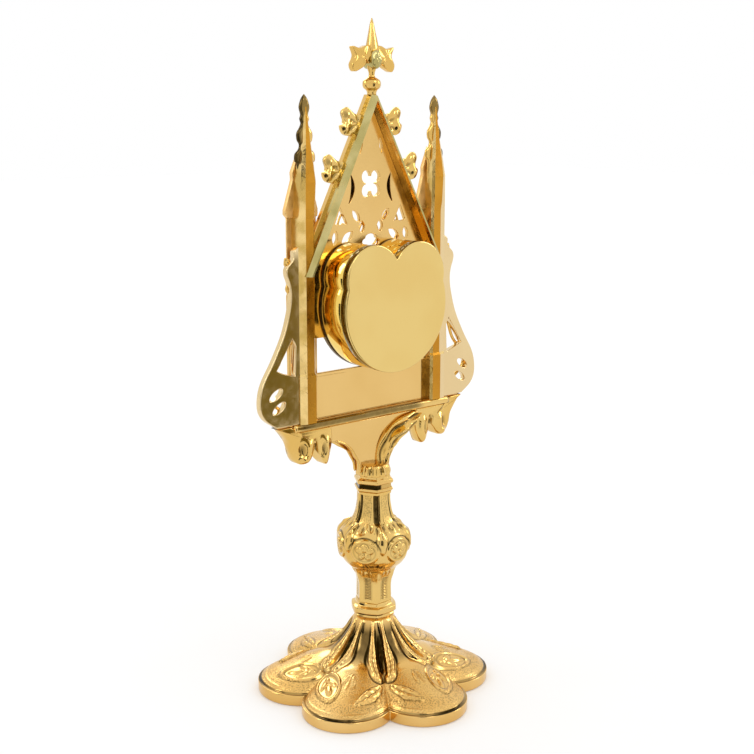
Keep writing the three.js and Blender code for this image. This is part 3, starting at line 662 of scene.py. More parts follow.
def stem_surface(angle, z):
    """Radius, painted shade and matt of the stem. Below, a hatched strip on each face; above,
    dark flutes along the edges with punched panels between them; on the knop, six ovals
    with a leaf, pointed leaves between them and a crown of small leaves over each. The
    hatching, the flutes, a crescent over each oval and the leaves' outlines and creases are
    darkened as painted shade."""
    r = np.interp(z, *spline(STEM_PROFILE, 300, closed=False).T)
    round_part = np.interp(z, *np.transpose(ROUNDNESS))
    knop = soft_step(z, 56, 62) * soft_step(84 - z, 0, 6)
    delta = from_lobe(angle)
    turned_delta = from_lobe(angle - KNOP_TURN)
    base = round_part * r + (1 - round_part) * hexagon(angle, r)
    across = r * delta
    edge = np.abs(r * (HALF_LOBE - np.abs(delta)))
    recess, matt = np.zeros_like(base), np.zeros_like(base)
    # lower shaft
    low = soft_step(z, 42.6, 43.2) * soft_step(54.5 - z, 0, 1.2)
    strip = low * soft_step(1.75 - np.abs(across), 0, 0.3)
    hatch = np.cos(z * 8.3 + np.abs(across) * 1.5)
    base = base - 0.15 * strip + 0.13 * strip * hatch
    # painted shade in the hatching and along the strip's edges
    recess += 0.15 * strip + 0.6 * strip * soft_step(-hatch, -0.3, 0.6)
    recess += 0.3 * low * mound((np.abs(across) - 2.0) / 0.3)
    # upper shaft
    high = soft_step(z, 79.0, 80.5) * soft_step(92.9 - z, 0, 0.6)
    flute = high * soft_step(1.75 - edge, 0, 0.6)
    base = base - 1.2 * flute
    # painted shade deep in the flutes
    recess += 0.95 * flute * soft_step(1.5 - edge, 0, 0.5)
    panel = high * soft_step(2.0 - np.abs(across), 0, 0.4)
    base = base + 0.15 * panel
    matt += 0.8 * panel
    # ovals on the knop
    side, up = KNOP_R * turned_delta, z - KNOP_Z
    disc = np.hypot(side / 6.5, up / 5.6)
    rim = mound((disc - 0.93) / 0.17)
    base = base + knop * (0.6 * soft_step(1.15 - disc, 0, 0.25) + 0.3 * rim
                          - 0.3 * soft_step(0.8 - disc, 0, 0.15))
    # painted shadow: a dark crescent over the top of each oval, and a dark ring inside it
    crescent = mound((disc - 1.13) / 0.09) * soft_step(up, -1, 2.5)
    recess += knop * (0.95 * crescent + 0.3 * mound((disc - 0.78) / 0.08))
    lobes = [((0, 2.0), (1.9, 1.9), 0), ((-2.4, 0.7), (1.9, 1.5), -0.5), ((2.4, 0.7), (1.9, 1.5), 0.5),
             ((-1.4, -1.9), (1.3, 1.7), -0.5), ((1.4, -1.9), (1.3, 1.7), 0.5)]
    leaf = np.minimum.reduce([oval(side, up, *lobe) for lobe in lobes])
    shown = soft_step(1.05 - leaf, 0, 0.35)
    base = base + knop * 0.6 * shown
    # painted shade round the leaf in the oval
    recess += knop * 0.5 * mound((leaf - 1.15) / 0.16) * (disc < 0.8)
    matt += 0.45 * knop * shown
    # pointed leaves between the ovals
    valley = KNOP_R * (HALF_LOBE - np.abs(turned_delta))
    skew = np.abs(valley) / 2.6
    lozenge = np.hypot(skew, (up - 4.6) / 6.6)
    crease = np.minimum(skew, 1)
    raised = knop * soft_step(1 - lozenge, 0, 0.35)
    base = base + raised * (1.35 - 0.9 * crease)
    # painted shade round the pointed leaves and along their creases
    recess += knop * 0.7 * mound((lozenge - 1.06) / 0.1) * soft_step(up, 0.5, 2)
    recess += raised * 0.45 * mound(crease / 0.16) * soft_step(up, 2, 5)
    # crown of small leaves where the shaft meets the knop, and a lower one
    crown = mound((up - 9.6) / 2.3) * knop
    curls = np.cos(turned_delta * 24) + 0.6 * np.cos(turned_delta * 12 + up * 1.3)
    base = base + crown * (0.3 + 0.42 * curls)
    # painted shade between the crown's curls
    recess += 0.65 * crown * soft_step(-curls, 0.1, 0.9)
    foot_leaves = mound((up + 12.6) / 1.8) * soft_step(2.6 - np.abs(across), 0, 0.5)
    base = base + 0.55 * foot_leaves * (0.6 + 0.4 * np.cos(across * 2.4))
    # painted shade between the lower leaves
    recess += 0.35 * foot_leaves * soft_step(-np.cos(across * 2.4), 0, 1)
    return base, np.clip(recess, 0, 1), np.clip(matt, 0, 1)


def make_stem():
    """A grid of angle and height carried out to stem_surface, its rows closest together
    over the hatched strips."""
    angle = full_turn(STEM_COLUMNS)
    share = np.linspace(0, 1, STEM_ROWS)
    z = np.interp(share, [0, 0.025, 0.36, 0.86, 1], [STEM_FOOT, 42.5, 54.7, 83.5, STEM_TOP])[:, None]
    r, recess, matt = stem_surface(angle, z * np.ones_like(angle))
    shell("stem_with_knop", "stem", about_axis(r, angle, z), CAST_GILT, recess=recess, matt=matt)


def collar(place, profile, roundness, dark):
    """A six-sided to round ring from (z, r) rows; `dark` (z0, z1) is its cove, darkened by
    painted shade that is deepest on the left."""
    z, r = spline(profile, 90, closed=False).T[:, :, None]
    angle = full_turn(240)
    around = roundness * r + (1 - roundness) * hexagon(angle, r)
    # painted shade in the cove, stronger on the left side
    recess = soft_step(z, dark[0], dark[0] + 0.2) * soft_step(dark[1] - z, 0, 0.2)
    recess = recess * (0.2 + 0.8 * soft_step(np.cos(angle - math.radians(8)), 0.3, 0.42))
    shell(f"{place}_collar_ring", f"{place}_collar", about_axis(around, angle, z), POLISHED_GILT,
          recess=recess)


def make_collars():
    """The half-round ring between foot and stem, and the six-sided one over the stem."""
    collar("lower", [(34.05, 8.6), (34.5, 9.3), (35.3, 9.7), (36.1, 9.35), (36.5, 9.6), (36.9, 10.3),
                     (37.3, 10.5), (38.9, 10.5), (39.4, 10.2), (39.9, 9.0), (40.4, 8.6), (41.2, 8.4)],
           0.5, (35.9, 36.4))
    collar("top", [(94.0, 7.9), (94.3, 8.4), (94.9, 8.75), (95.6, 8.5), (95.9, 8.0), (97.5, 7.95),
                   (97.7, 8.4), (98.3, 8.85), (99.3, 8.8), (99.9, 8.2), (100.4, 7.6), (101.2, 7.4)],
           0.05, (95.6, 97.7))


# ------------------------------------------------------------------ bracket
WEB_Y = (-3.6, 0.4)
BRACKET_Z = 101.3
MOULDING_LOW, MOULDING_HIGH, MOULDING_HALF = 127.5, 130.5, 44.8
JOINT = 0.3


def make_web():
    """The bracket's trumpet-shaped web, one half drawn and mirrored, thin rods along its
    edges on both faces, and the fluted socket at its foot."""
    top = MOULDING_LOW - JOINT
    half = spline([(7.8, BRACKET_Z), (8.2, 107), (10, 110), (12.6, 114.4), (16, 117.2), (21, 119.5),
                   (26, 119.8), (34, 121), (42, 124), (42.5, top)], 60, closed=False)
    half[:, 1] = np.clip(half[:, 1], BRACKET_Z, top)
    openwork("bracket_web", "bracket", np.vstack([half, mirrored(half)]), [], WEB_Y, 0.5, PLATE_GILT)
    x, z = spline([(8.1, 103), (8.7, 107), (10.6, 110.5), (13.4, 114.8), (17, 117.9), (22, 120)], 50,
                  closed=False).T
    rims = [rod(grid(side * x, y, z), 0.55) for side in (-1, 1) for y in WEB_Y[::-1]]
    body("bracket_rims", "bracket", rims, CAST_GILT)
    socket = turned([(101.1, 7.3), (102, 7.5), (103, 7.4), (104, 7.1), (105, 6.8), (105.9, 6.2)], 144,
                    (0, 0), 36, lambda angle: 1 + 0.06 * np.cos(12 * angle) ** 3)
    body("bracket_socket", "bracket", [socket], CAST_GILT)


def rod(path, radius):
    """A thin round rod along a path: circles square to it, tapering to its ends."""
    along = np.gradient(path, axis=0)
    along /= np.linalg.norm(along, axis=1, keepdims=True)
    aside = np.cross(along, [0, 1, 0])
    aside /= np.linalg.norm(aside, axis=1, keepdims=True) + 1e-9
    up = np.cross(aside, along)
    u = np.linspace(0, 1, len(path))[:, None, None]
    thick = radius * np.clip(np.sin(np.pi * u) * 6, 0.15, 1) ** 0.5
    angle = full_turn(10)[None, :, None]
    return capped(path[:, None] + thick * (np.cos(angle) * aside[:, None] + np.sin(angle) * up[:, None]))


CORBEL = [
    (52.8, 132), (51.6, 129.4), (49, 126), (46.7, 122.5), (45.6, 118), (43.6, 114.3), (40.9, 112.9),
    (37.4, 113.9), (34.6, 118.2), (33.0, 120.2), (31.7, 116.4), (29.8, 112.2), (28, 110.9), (26.4, 113),
    (24.8, 118), (24.4, 124), (27, 131), (40, 134),
]


def make_corbel(side, hand):
    """The drooping leaf with a large and a small lobe. Its back is a flat facet to the
    outer side, then two rounded lobes with a deep crease between them."""
    outline = spline(CORBEL, 220)
    beside = outline[:, 0] > MOULDING_HALF + JOINT
    ceiling = np.where(beside, MOULDING_HIGH - 0.2, MOULDING_LOW - 0.05)
    outline[:, 1] = np.minimum(outline[:, 1], ceiling)
    t = np.linspace(1, 0, 34, endpoint=False)[:, None]
    x, z = shrunk(outline, (35.5, 122.5), t)
    rim = np.sqrt(np.clip(1 - t ** 9, 0, 1))
    reach = soft_step(125.5 - z, 0, 5)
    big = mound((x - 38.6 + 0.12 * (z - 118)) / 4.8)
    small = mound((x - 28.4) / 3.4)
    crease = mound((x - 33.2 - 0.1 * (z - 118)) / 1.4) * soft_step(125 - z, 0, 3)
    dent = (mound(np.hypot((x - 41.2) / 2.2, (z - 119.5) / 3.8))
            + mound(np.hypot((x - 29.6) / 1.3, (z - 118.5) / 4)))
    curl = mound(np.hypot((x - 40.5) / 3.4, (z - 115.0) / 2.2))
    swell = rim * (0.8 + reach * (1.7 * big + 1.5 * small + 0.9 * curl - 1.5 * crease - 1.1 * dent))
    front = -4.2 - rim * (1.2 + 0.6 * np.cos((x - 26) * 0.9 + (z - 110) * 0.5))
    # painted shade in the crease and the dents, fainter on the leaf's front
    dark = np.clip((0.8 * crease + 0.65 * dent) * reach, 0, 1)
    shell(f"corbel_leaf_{hand}", "bracket", leaf_rings(side * x, z, front, 0.6 + np.minimum(swell, 2.9)),
          CAST_GILT, recess=np.concatenate([0.3 * dark[::-1], dark]))


def make_arm_leaf(name, turn):
    """A fluted leaf lying along one arm: a ribbed half-round section carried along a
    curve. `turn` +1 lies on the back of one arm, -1 on the front of the other."""
    path = spline([(4.2, 102.5), (4.4, 107.5), (6.2, 113), (10.6, 117.6), (16.8, 121.2), (23.4, 123.4),
                   (29, 125.6)], 120, closed=False)
    along = np.gradient(path, axis=0)
    along /= np.hypot(*along.T)[:, None]
    u = np.linspace(0, 1, len(path))[:, None]
    half = np.interp(u, [0, 0.2, 0.45, 0.65, 0.85, 1], [2.6, 3.8, 4.9, 5.0, 3.6, 0.5])
    s = np.linspace(-1, 1, 41)
    arch = np.sqrt(np.clip(1 - s ** 2, 0, 1))
    flutes = np.cos(s * 2.1 * np.pi + 0.9 * np.sin(u * 7 - 0.5))
    veins = 0.45 * np.cos(u * 21 - np.abs(s) * 3)
    lift = half / 3.0 * (2.1 * arch + (0.8 * flutes + veins) * (1 - s ** 2))
    x = -turn * (path[:, :1] + along[:, 1:] * s * half)
    z = path[:, 1:] - along[:, :1] * s * half
    top = grid(x, WEB_Y[1] - 0.3 + lift, z)
    rings = np.concatenate([top, grid(x, WEB_Y[1] - 1.2, z)[:, ::-1]], 1)
    if turn < 0:
        rings[..., 1] = WEB_Y[0] + WEB_Y[1] - rings[..., 1]
    # painted shade in the flutes of the leaf's top
    recess = 0.85 * soft_step(-flutes, 0.35, 1) * (1 - s ** 4)
    recess = np.concatenate([recess, np.zeros_like(recess)], 1)
    shell(name, "bracket", rings, CAST_GILT, recess=recess)


def make_moulding():
    """The straight moulding under the front: a rounded profile of (y, z) carried along X,
    with a painted shadow on its sloped back but for its two ends."""
    profile = [(-7.6, MOULDING_HIGH), (-8.0, 130.0), (-8.2, 129.3), (-7.7, 128.9), (-8.1, 128.4),
               (-7.9, 127.8), (-7.2, MOULDING_LOW), (0.8, MOULDING_LOW), (1.7, 127.6), (2, 128.2),
               (2, 129.2), (1.8, 129.9), (1.4, 130.4), (0.8, 130.75), (-7.0, 130.75)]
    y, z = densified(profile, 0.6).T
    x = np.linspace(-MOULDING_HALF, MOULDING_HALF, 60)[:, None]
    # painted shadow on the sloped back
    dark = soft_step(y, -0.9, 0.0) * soft_step(z, 127.9, 128.5)
    recess = 0.68 * dark * soft_step(x, -30, -24) * soft_step(44 - x, 0, 4)
    shell("front_base_moulding", "base_moulding", grid(x, y, z), POLISHED_GILT, recess=recess)


# ------------------------------------------------------------------ capsule
BIG = (0.0, 179.1, 28.6)
SMALL = (12.6, 191.8, 14.8)
FILLET = 0.35
CAPSULE_Z, LID_UNDER, LID_TOP = 180.0, 14.7, 16.1
WINDOW_BACK = -3.9


def three_lobed():
    """Points and outward normals of the capsule's outline: arcs of the big circle and of
    the two small ones, with small fillets where they meet. An outline grown by g is
    points + g * normals."""
    bx, bz, br = BIG
    sx, sz, sr = SMALL
    notch = np.array([0, sz + math.sqrt((sr + FILLET) ** 2 - sx ** 2)])
    gap = math.hypot(sx - bx, sz - bz)
    along = (gap ** 2 + (br + FILLET) ** 2 - (sr + FILLET) ** 2) / (2 * gap)
    aside = math.sqrt((br + FILLET) ** 2 - along ** 2)
    ux, uz = (sx - bx) / gap, (sz - bz) / gap
    meet = np.array([bx + ux * along + uz * aside, bz + uz * along - ux * aside])
    other = meet * [-1, 1]

    def heading(start, end):
        return math.atan2(end[1] - start[1], end[0] - start[0])

    def arc(centre, radius, start, end, count, bulges):
        angle = np.linspace(start, end, count, endpoint=False)
        way = np.stack([np.cos(angle), np.sin(angle)], -1)
        return np.asarray(centre) + radius * way, way * bulges

    right, left, low = (sx, sz), (-sx, sz), (bx, bz)
    right_notch, right_meet = heading(right, notch), heading(right, meet)
    pieces = [
        arc(right, sr, right_notch, right_meet, 70, 1),
        arc(meet, FILLET, math.pi - heading(other, left), math.pi - heading(other, low), 6, -1),
        arc(low, br, heading(low, meet), -math.pi - heading(low, meet), 170, 1),
        arc(other, FILLET, heading(other, low), heading(other, left), 6, -1),
        arc(left, sr, math.pi - right_meet, math.pi - right_notch, 70, 1),
        arc(notch, FILLET, heading(notch, left) + TURN, heading(notch, right) + TURN, 8, -1),
    ]
    return np.vstack([p for p, _ in pieces]), np.vstack([n for _, n in pieces])


LOBED, LOBED_OUT = three_lobed()


def lobed_ring(profile):
    """A moulding carried round the capsule's outline: profile rows are (growth, y)."""
    growth, y = np.array(profile).T[:, :, None]
    x, z = (place + growth * out for place, out in zip(LOBED.T, LOBED_OUT.T))
    return grid(x, y, z)


def make_drum():
    """The drum's true wall with the step that takes the lid; a painted shadow darkens its seat."""
    ring = lobed_ring([(-0.3, -1.4), (-0.25, 0.2), (-0.3, 11.8), (-0.45, 12), (-1.6, 12), (-1.6, 14.1),
                       (-2.9, 14.1), (-2.9, 10.2), (-1.8, 10), (-1.8, -1.4)])
    # painted shadow along the drum's edge at the seat
    seat = np.zeros(ring.shape[:2])
    seat[0], seat[-1] = 0.95, 0.6
    body("capsule_drum", "capsule_case", [looped(ring)], DRUM_GILT, {"recess": seat})


def make_lid():
    """Lid with a skirt and a softly rounded edge; the skirt's side is darkened as a painted
    shadow where it meets the drum. Its discs are the rims shrunk towards the middle."""
    skirt = lobed_ring([(-1.5, LID_UNDER), (-1.5, 12.3), (-0.1, 12.3), (0, 12.5), (0, 15.5),
                        (-0.08, 15.85), (-0.25, 16.03), (-0.5, LID_TOP), (-0.6, LID_TOP)])
    middle, under = np.array([(0, LID_TOP, CAPSULE_Z), (0, LID_UNDER, CAPSULE_Z)])
    below = under + np.array([0.06, 0.9])[:, None, None] * (skirt[0] - under)
    disc = middle + np.linspace(0.94, 0.06, 24)[:, None, None] * (skirt[-1] - middle)
    rings = np.concatenate([below, skirt, disc])
    # painted shadow on the skirt's inner corner and side
    dark = np.zeros(rings.shape[:2])
    dark[3] = 0.9
    dark[4:7] = 0.8
    shell("capsule_cover", "capsule_lid", rings, LID_GILT, recess=dark)


def make_window():
    """On the hidden front: the moulded frame, its row of pearls, and the pane."""
    frame_profile = np.array([(-0.9, 0), (-0.9, -1.0), (-1.2, -1.35), (-1.9, -1.4), (-2.0, -2.1),
                              (-2.5, -2.55), (-3.1, -2.55), (-3.6, -2.1), (-3.75, -1.3), (-4.8, -1.2),
                              (-4.8, 0)]) + [0, WINDOW_BACK]
    body("window_surround", "window_frame", [looped(lobed_ring(frame_profile))], POLISHED_GILT)
    tilt = np.linspace(0.25, np.pi - 0.25, 7)[:, None]
    angle = full_turn(10)
    ball, faces = capped(grid(np.sin(tilt) * np.cos(angle), np.cos(tilt), np.sin(tilt) * np.sin(angle)))
    spots = LOBED[::6] - 1.55 * LOBED_OUT[::6]
    pearls = [(ball * 0.55 + [x, WINDOW_BACK - 1.4, z], faces) for x, z in spots]
    body("window_pearls", "window_frame", pearls, POLISHED_GILT)
    pane = lobed_ring([(-4.4, -3.6), (-4.3, -3.5), (-4.3, -2.1), (-4.4, -2.0)])
    shell("window_pane", "window_glass", pane, clear_glass(), flat="square to Y")


# ------------------------------------------------------------------ facade
FRONT_Z, PANEL_TOP, WING_TOP = 130.8, 150.5, 207.0
PLATE_Y, WING_Y, FRAME_Y, LEAF_Y = (-3.6, -1.7), (-2.1, 0.9), (-5.2, 1.0), -1.2
PILLAR_X, BAR_HALF, BLOCK_HALF = 36.2, 2.5, 7.7
SPIRE_TIP, GABLET_Z = 268.7, 221.0
GABLE_X, GABLE_LOW, GABLE_SLOPE, GABLE_TOP = 34.7, 205.0, 0.505, 268.6
BAR_WIDTH = 4.0
QUATREFOIL_Z = 231.0


def gable_edge(z, inset=0.0):
    """X of the gable's sloping edge at a height, or of a line set in from it."""
    return GABLE_X - GABLE_SLOPE * (z - GABLE_LOW) - inset * math.hypot(1, GABLE_SLOPE)


def make_back_panel():
    """The thin plate low down, with a strip up each side behind the pillars, and the
    ring with two lugs that carries the drum."""
    low, high = PLATE_Y
    sill = PANEL_TOP + 0.6
    u_shape = [(-45, FRONT_Z), (45, FRONT_Z), (45, 186), (40, 198), (40, WING_TOP), (33.7, WING_TOP),
               (33.7, sill), (-33.7, sill), (-33.7, WING_TOP), (-40, WING_TOP), (-40, 198), (-45, 186)]
    sight = np.array([(43.6, 152.2), (44.6, 152.2), (44.6, 165.6), (43.6, 165)])
    openwork("back_panel", "facade_plate", densified(u_shape, 3), [sight, mirrored(sight)], PLATE_Y, 0.2,
             PLATE_GILT)
    ridge = densified([(15, PANEL_TOP - 0.8), (33, PANEL_TOP - 0.8), (33, PANEL_TOP + 0.9),
                       (15, PANEL_TOP + 0.9)], 2)
    plate_pair("panel_ridge", ridge, (high - 0.4, high + 0.8), 0.35, PLATE_GILT)
    # the ring that carries the drum is darkened all over as a painted shadow
    openwork("drum_seat", "facade_plate", LOBED - 0.2 * LOBED_OUT, [LOBED - 4.1 * LOBED_OUT],
             (low + 0.03, high - 0.02), 0.15, PLATE_GILT, 0.85)
    lug = densified([(22.5, 166.5), (33.9, 166.5), (33.9, 202), (22, 202), (24.5, 190), (25.5, 172)], 3)
    plate_pair("seat_lug", lug, (low + 0.06, high - 0.05), 0.1, PLATE_GILT)


def make_wing(side, hand):
    """A side wing: concave and convex outer edge, a triangle and two slanting slots."""
    edge = spline([(40.6, 207), (43.6, 204.9), (43.9, 201.8), (47, 198.5), (47.5, 195.5), (46, 191),
                   (45.4, 186.5), (46.2, 180.4), (49.2, 170.5), (54.6, 160), (60.6, 150), (62.2, 141.5),
                   (60, 135.5), (53.8, 131)], 110, closed=False)
    inner = PILLAR_X + BAR_HALF + JOINT
    outline = np.vstack([edge, [(inner, FRONT_Z), (inner, WING_TOP)]])
    holes = [densified([(45, 168.2), (53.2, 155.6), (50, 154), (44, 152.2), (43.4, 165)], 2),
             ellipse(54, 145.3, 3.7, 1.65, -33), ellipse(52.5, 139.4, 3.7, 1.65, -33)]
    openwork(f"wing_{hand}", "facade_plate", on_side(outline, side),
             [on_side(hole, side) for hole in holes], WING_Y, 0.35, WING_GILT)


def make_wing_foliage(side, hand):
    """Raised foliage on the hidden front of a wing: a stem of curled leaves."""
    x, z = spline([(43, 134), (50, 138), (57, 144), (55.5, 151), (50, 158), (46.5, 168), (43.6, 178),
                   (42.6, 190), (42, 202)], 80, closed=False).T
    parts = [rod(grid(side * x, WING_Y[0] - 0.2, z), 0.75)]
    leaf = np.array([(0, -2.4), (1.6, -1.4), (1.9, 0.6), (0.9, 2.2), (0, 3), (-0.9, 2.2), (-1.9, 0.6),
                     (-1.6, -1.4)])
    for x, z, turn in [(47, 133.5, 40), (57, 150, 60), (59.4, 141, -20), (47.5, 147, 70), (41.6, 150, 10),
                       (41.8, 172, 0), (44.4, 189, -20), (41.2, 196, 20), (45, 199.6, -30)]:
        c, s = math.cos(math.radians(turn)), math.sin(math.radians(turn))
        shape = spline(leaf @ [[c, s], [-s, c]], 40) + [x, z]
        points, faces = pillow(shape, (x, z), (WING_Y[0], WING_Y[0] + 0.6), 0.55, 0.25, 5, 6)
        parts.append((points * [side, 1, 1], faces))
    body(f"wing_foliage_{hand}", "facade_plate", parts, CAST_GILT)


def make_tracery():
    """The gable's pierced plate: quatrefoil, trefoil, triangles and leaf slits. Behind
    the bent slits lies a small plate darkened as painted shade."""
    inset, upper, low = BAR_WIDTH - 1.9, 262.0, 203.5
    outline = densified([(gable_edge(upper, inset), upper), (-gable_edge(upper, inset), upper),
                         (-gable_edge(low, inset), low), (-19, 199.4), (0, 199.4), (19, 199.4),
                         (gable_edge(low, inset), low)], 2.5)
    crescent = bent_slit(10.6, 229, 12.5)
    one_side = [densified([(13.2, 214.2), (15.6, 214.9), (16.6, 214.1), (19.8, 214.6), (17, 221.4)], 0.8),
                leaf_slit(8.3, 217.4, 1.45, 3.2, -38), leaf_slit(5.1, 212.6, 1.6, 2.6, 0),
                leaf_slit(13.2, 208.6, 1.75, 3.7, 55), leaf_slit(20, 208.6, 1.45, 3.0, 10),
                crescent, leaf_slit(5.6, 247, 0.75, 3.4, 12)]
    angle = full_turn(160)
    quarter = from_nearest(angle, np.pi / 4, np.pi / 2)
    out, foil = 4.0, 2.55
    four = out * np.cos(quarter) + np.sqrt(np.clip(foil ** 2 - (out * np.sin(quarter)) ** 2, 0, None))
    four = np.where(np.abs(quarter) < math.asin(foil / out), four, 3.0)
    quatrefoil = np.stack([0.93 * four * np.cos(angle), QUATREFOIL_Z + 1.06 * four * np.sin(angle)], -1)
    three = 2.3 + 1.1 * np.abs(np.cos(1.5 * (angle - math.pi / 2))) ** 0.8
    trefoil = np.stack([1.5 * three * np.cos(angle), 206.4 + 0.9 * three * np.sin(angle)], -1)
    holes = [quatrefoil, trefoil] + one_side + [mirrored(hole) for hole in one_side]
    openwork("gable_tracery", "facade_plate", outline, holes, PLATE_Y, 0.22, PLATE_GILT)
    # a plate filling the bent slits, darkened as painted shade
    middle = crescent.mean(0)
    plate_pair("crescent_shade_plate", (crescent - middle) * [1.35, 1.06] + middle,
               (PLATE_Y[0] + 0.1, PLATE_Y[0] + 0.7), 0.1, CAST_GILT, 0.95)
    ribs = [(0, QUATREFOIL_Z, 7, 7), (0, QUATREFOIL_Z, 8.4, 8.4), (0, 209.5, 5.4, 6),
            (12.5, 212, 4.6, 7.5), (-12.5, 212, 4.6, 7.5)]
    body("gable_front_ribs", "facade_plate", [ring_rod(*rib) for rib in ribs], CAST_GILT)


def ring_rod(x, z, rx, rz):
    """An oval rod on the hidden front: circles square to an oval of constant Y."""
    line = ellipse(x, z, rx, rz, count=119)
    path = grid(line[:, 0], PLATE_Y[0] - 0.1, line[:, 1])
    along = np.roll(path, -1, 0) - np.roll(path, 1, 0)
    along /= np.linalg.norm(along, axis=1, keepdims=True)
    aside = np.cross(along, [0, 1, 0])
    angle = full_turn(8)[:, None, None]
    return looped(path + 0.5 * (np.cos(angle) * aside + np.sin(angle) * [0, 1, 0]))


def leaf_slit(x, z, half_wide, half_long, turn):
    """A pointed leaf opening: a sine lens turned about its middle."""
    v = np.linspace(-1, 1, 20)
    lens = np.concatenate([np.cos(v * np.pi / 2) ** 0.8, -np.cos(v[::-1][1:-1] * np.pi / 2) ** 0.8])
    long = np.concatenate([v, v[::-1][1:-1]]) * half_long
    angle = math.radians(turn)
    u = lens * half_wide
    return np.stack([x + u * math.cos(angle) - long * math.sin(angle),
                     z + u * math.sin(angle) + long * math.cos(angle)], -1)


def bent_slit(x, z, length):
    """A thin curved slit beside the quatrefoil."""
    v = np.linspace(-1, 1, 30)
    bend = -1.7 * (1 - v ** 2)
    half = 0.95 * np.cos(v * np.pi / 2) ** 0.8 + 0.02
    up = v * length / 2
    outer = np.stack([x + bend + 1.2 - 0.09 * up + half, z + up], -1)
    inner = np.stack([x + bend + 1.2 - 0.09 * up - half, z + up], -1)
    return np.vstack([outer, inner[::-1]])


# ------------------------------------------------------------------ gable bars
def bar_path(inset, y, low, lean):
    """Corner points of one bar's line from its foot to the apex; the foot leans back."""
    top = GABLE_LOW + (GABLE_X - inset * math.hypot(1, GABLE_SLOPE)) / GABLE_SLOPE
    top = min(top, GABLE_TOP)
    end = max(gable_edge(top, inset), 0)
    return np.array([(gable_edge(low, inset), y + lean, low), (end, y, top)])


def gable_bar(name, section, low, material, lean=0.0):
    """One chevron-shaped bar from foot to foot over the apex. Its section is a closed
    row of (inset, y) points; each point runs along its own line to the apex, and at the
    foot the back of the bar leans out by `lean`."""
    steps = np.linspace(0, 1, 40)[:, None]
    rows = []
    for inset, depth in section:
        foot, top = bar_path(inset, depth, low, lean if depth > 0 else 0)
        rows.append(foot + (top - foot) * steps)
    right = np.stack(rows, 1)
    rings = np.concatenate([right, right[::-1] * [-1, 1, 1]])
    return shell(name, "gable_frame", rings, material, flat="all")


def cut_rectangle(i0, i1, y0, y1, edge):
    """A rectangle in (inset, y) with small cut edges."""
    return [(i0, y0 + edge), (i0 + edge, y0), (i1 - edge, y0), (i1, y0 + edge),
            (i1, y1 - edge), (i1 - edge, y1), (i0 + edge, y1), (i0, y1 - edge)]


def make_gable():
    """Outer strip, front lip, and the rear rib with its sloped outer side and its inner
    side of plain casting."""
    low, top = GABLE_LOW - 2, FRAME_Y[1]
    gable_bar("gable_strip", cut_rectangle(0, BAR_WIDTH - 0.02, -3.4, -1.2, 0.2), low, PLATE_GILT)
    gable_bar("gable_lip", cut_rectangle(1.4, BAR_WIDTH - 0.4, FRAME_Y[0], -3.2, 0.35), low, CAST_GILT)
    rib = [(1.2, -1.5), (1.2, top - 0.5), (2.6, top + 1.9), (3.4, top + 1.9), (3.9, top + 0.4), (4.1, -1.5)]
    rear = gable_bar("gable_rib", rib, low - 9, PITTED_GILT, 1.9).data
    rear.materials.append(CAST_GILT)
    downward = face_normals(rear)[:, 2] < -0.2
    rear.polygons.foreach_set("material_index", downward.astype(np.int32))


CROCKET = np.array([(-2.2, -4.6), (0.8, -3.4), (3, -4.6), (6, -3.6), (7.3, -0.6), (5.6, 1.4), (6.6, 5.2),
                    (4.2, 7.4), (0, 4.6), (-4.6, 3.6)])


def make_crockets():
    """Curled leaves on the gable's edge: the rim is the outline, with knobs on the two
    lobes and creases that fan out from the bar."""
    t = np.cos(np.linspace(0, np.pi / 2, 22, endpoint=False))[:, None]
    x, z = shrunk(spline(CROCKET, 120), (2.6, 0.8), t)
    u, v = x - 2.6, z - 0.8
    knobs = mound(np.hypot(u - 2.6, v + 2.8) / 2.6) + 0.7 * mound(np.hypot(u - 2.0, v - 3.4) / 2.0)
    crease = np.cos(1.15 * np.hypot(u + 3.5, v + 0.6) + 0.9 * np.arctan2(v, u + 3.5))
    fan = np.cos(6.5 * np.arctan2(v + 0.4, u + 4.2))
    swell = np.sqrt(1 - t ** 4) * (0.35 + 1.05 * knobs + 0.3 * fan + 0.2 * crease)
    # painted shade in the grooves between the fanned creases
    dark = 0.55 * soft_step(-fan - 0.4 * crease, 0.3, 1.2) * (1 - t ** 6)
    for place, root_x, root_z in (("upper", 9.6, 256.0), ("lower", 19.2, 236.6)):
        for side, hand in HANDS:
            rings = leaf_rings(side * (x + root_x), z + root_z, -2.6 - swell, -0.9 + swell)
            shell(f"crocket_{place}_{hand}", "gable_frame", rings, CAST_GILT,
                  recess=np.concatenate([dark[::-1], dark]))


# ------------------------------------------------------------------ pinnacles
APRON, SPIRE_FOOT = 2.3, 230.0
SPIRE = [
    (0, SPIRE_TIP), (1.3, 266.8), (2.5, 263.4), (1.7, 260.4), (2.2, 258.6), (1.6, 256.8), (2.3, 255.3),
    (3.9, 252.9), (3.8, 250.2), (2.7, 248.4), (3.0, 246.6), (5.0, 244.4), (5.1, 241.6), (3.8, 239.6),
    (3.8, SPIRE_FOOT),
]


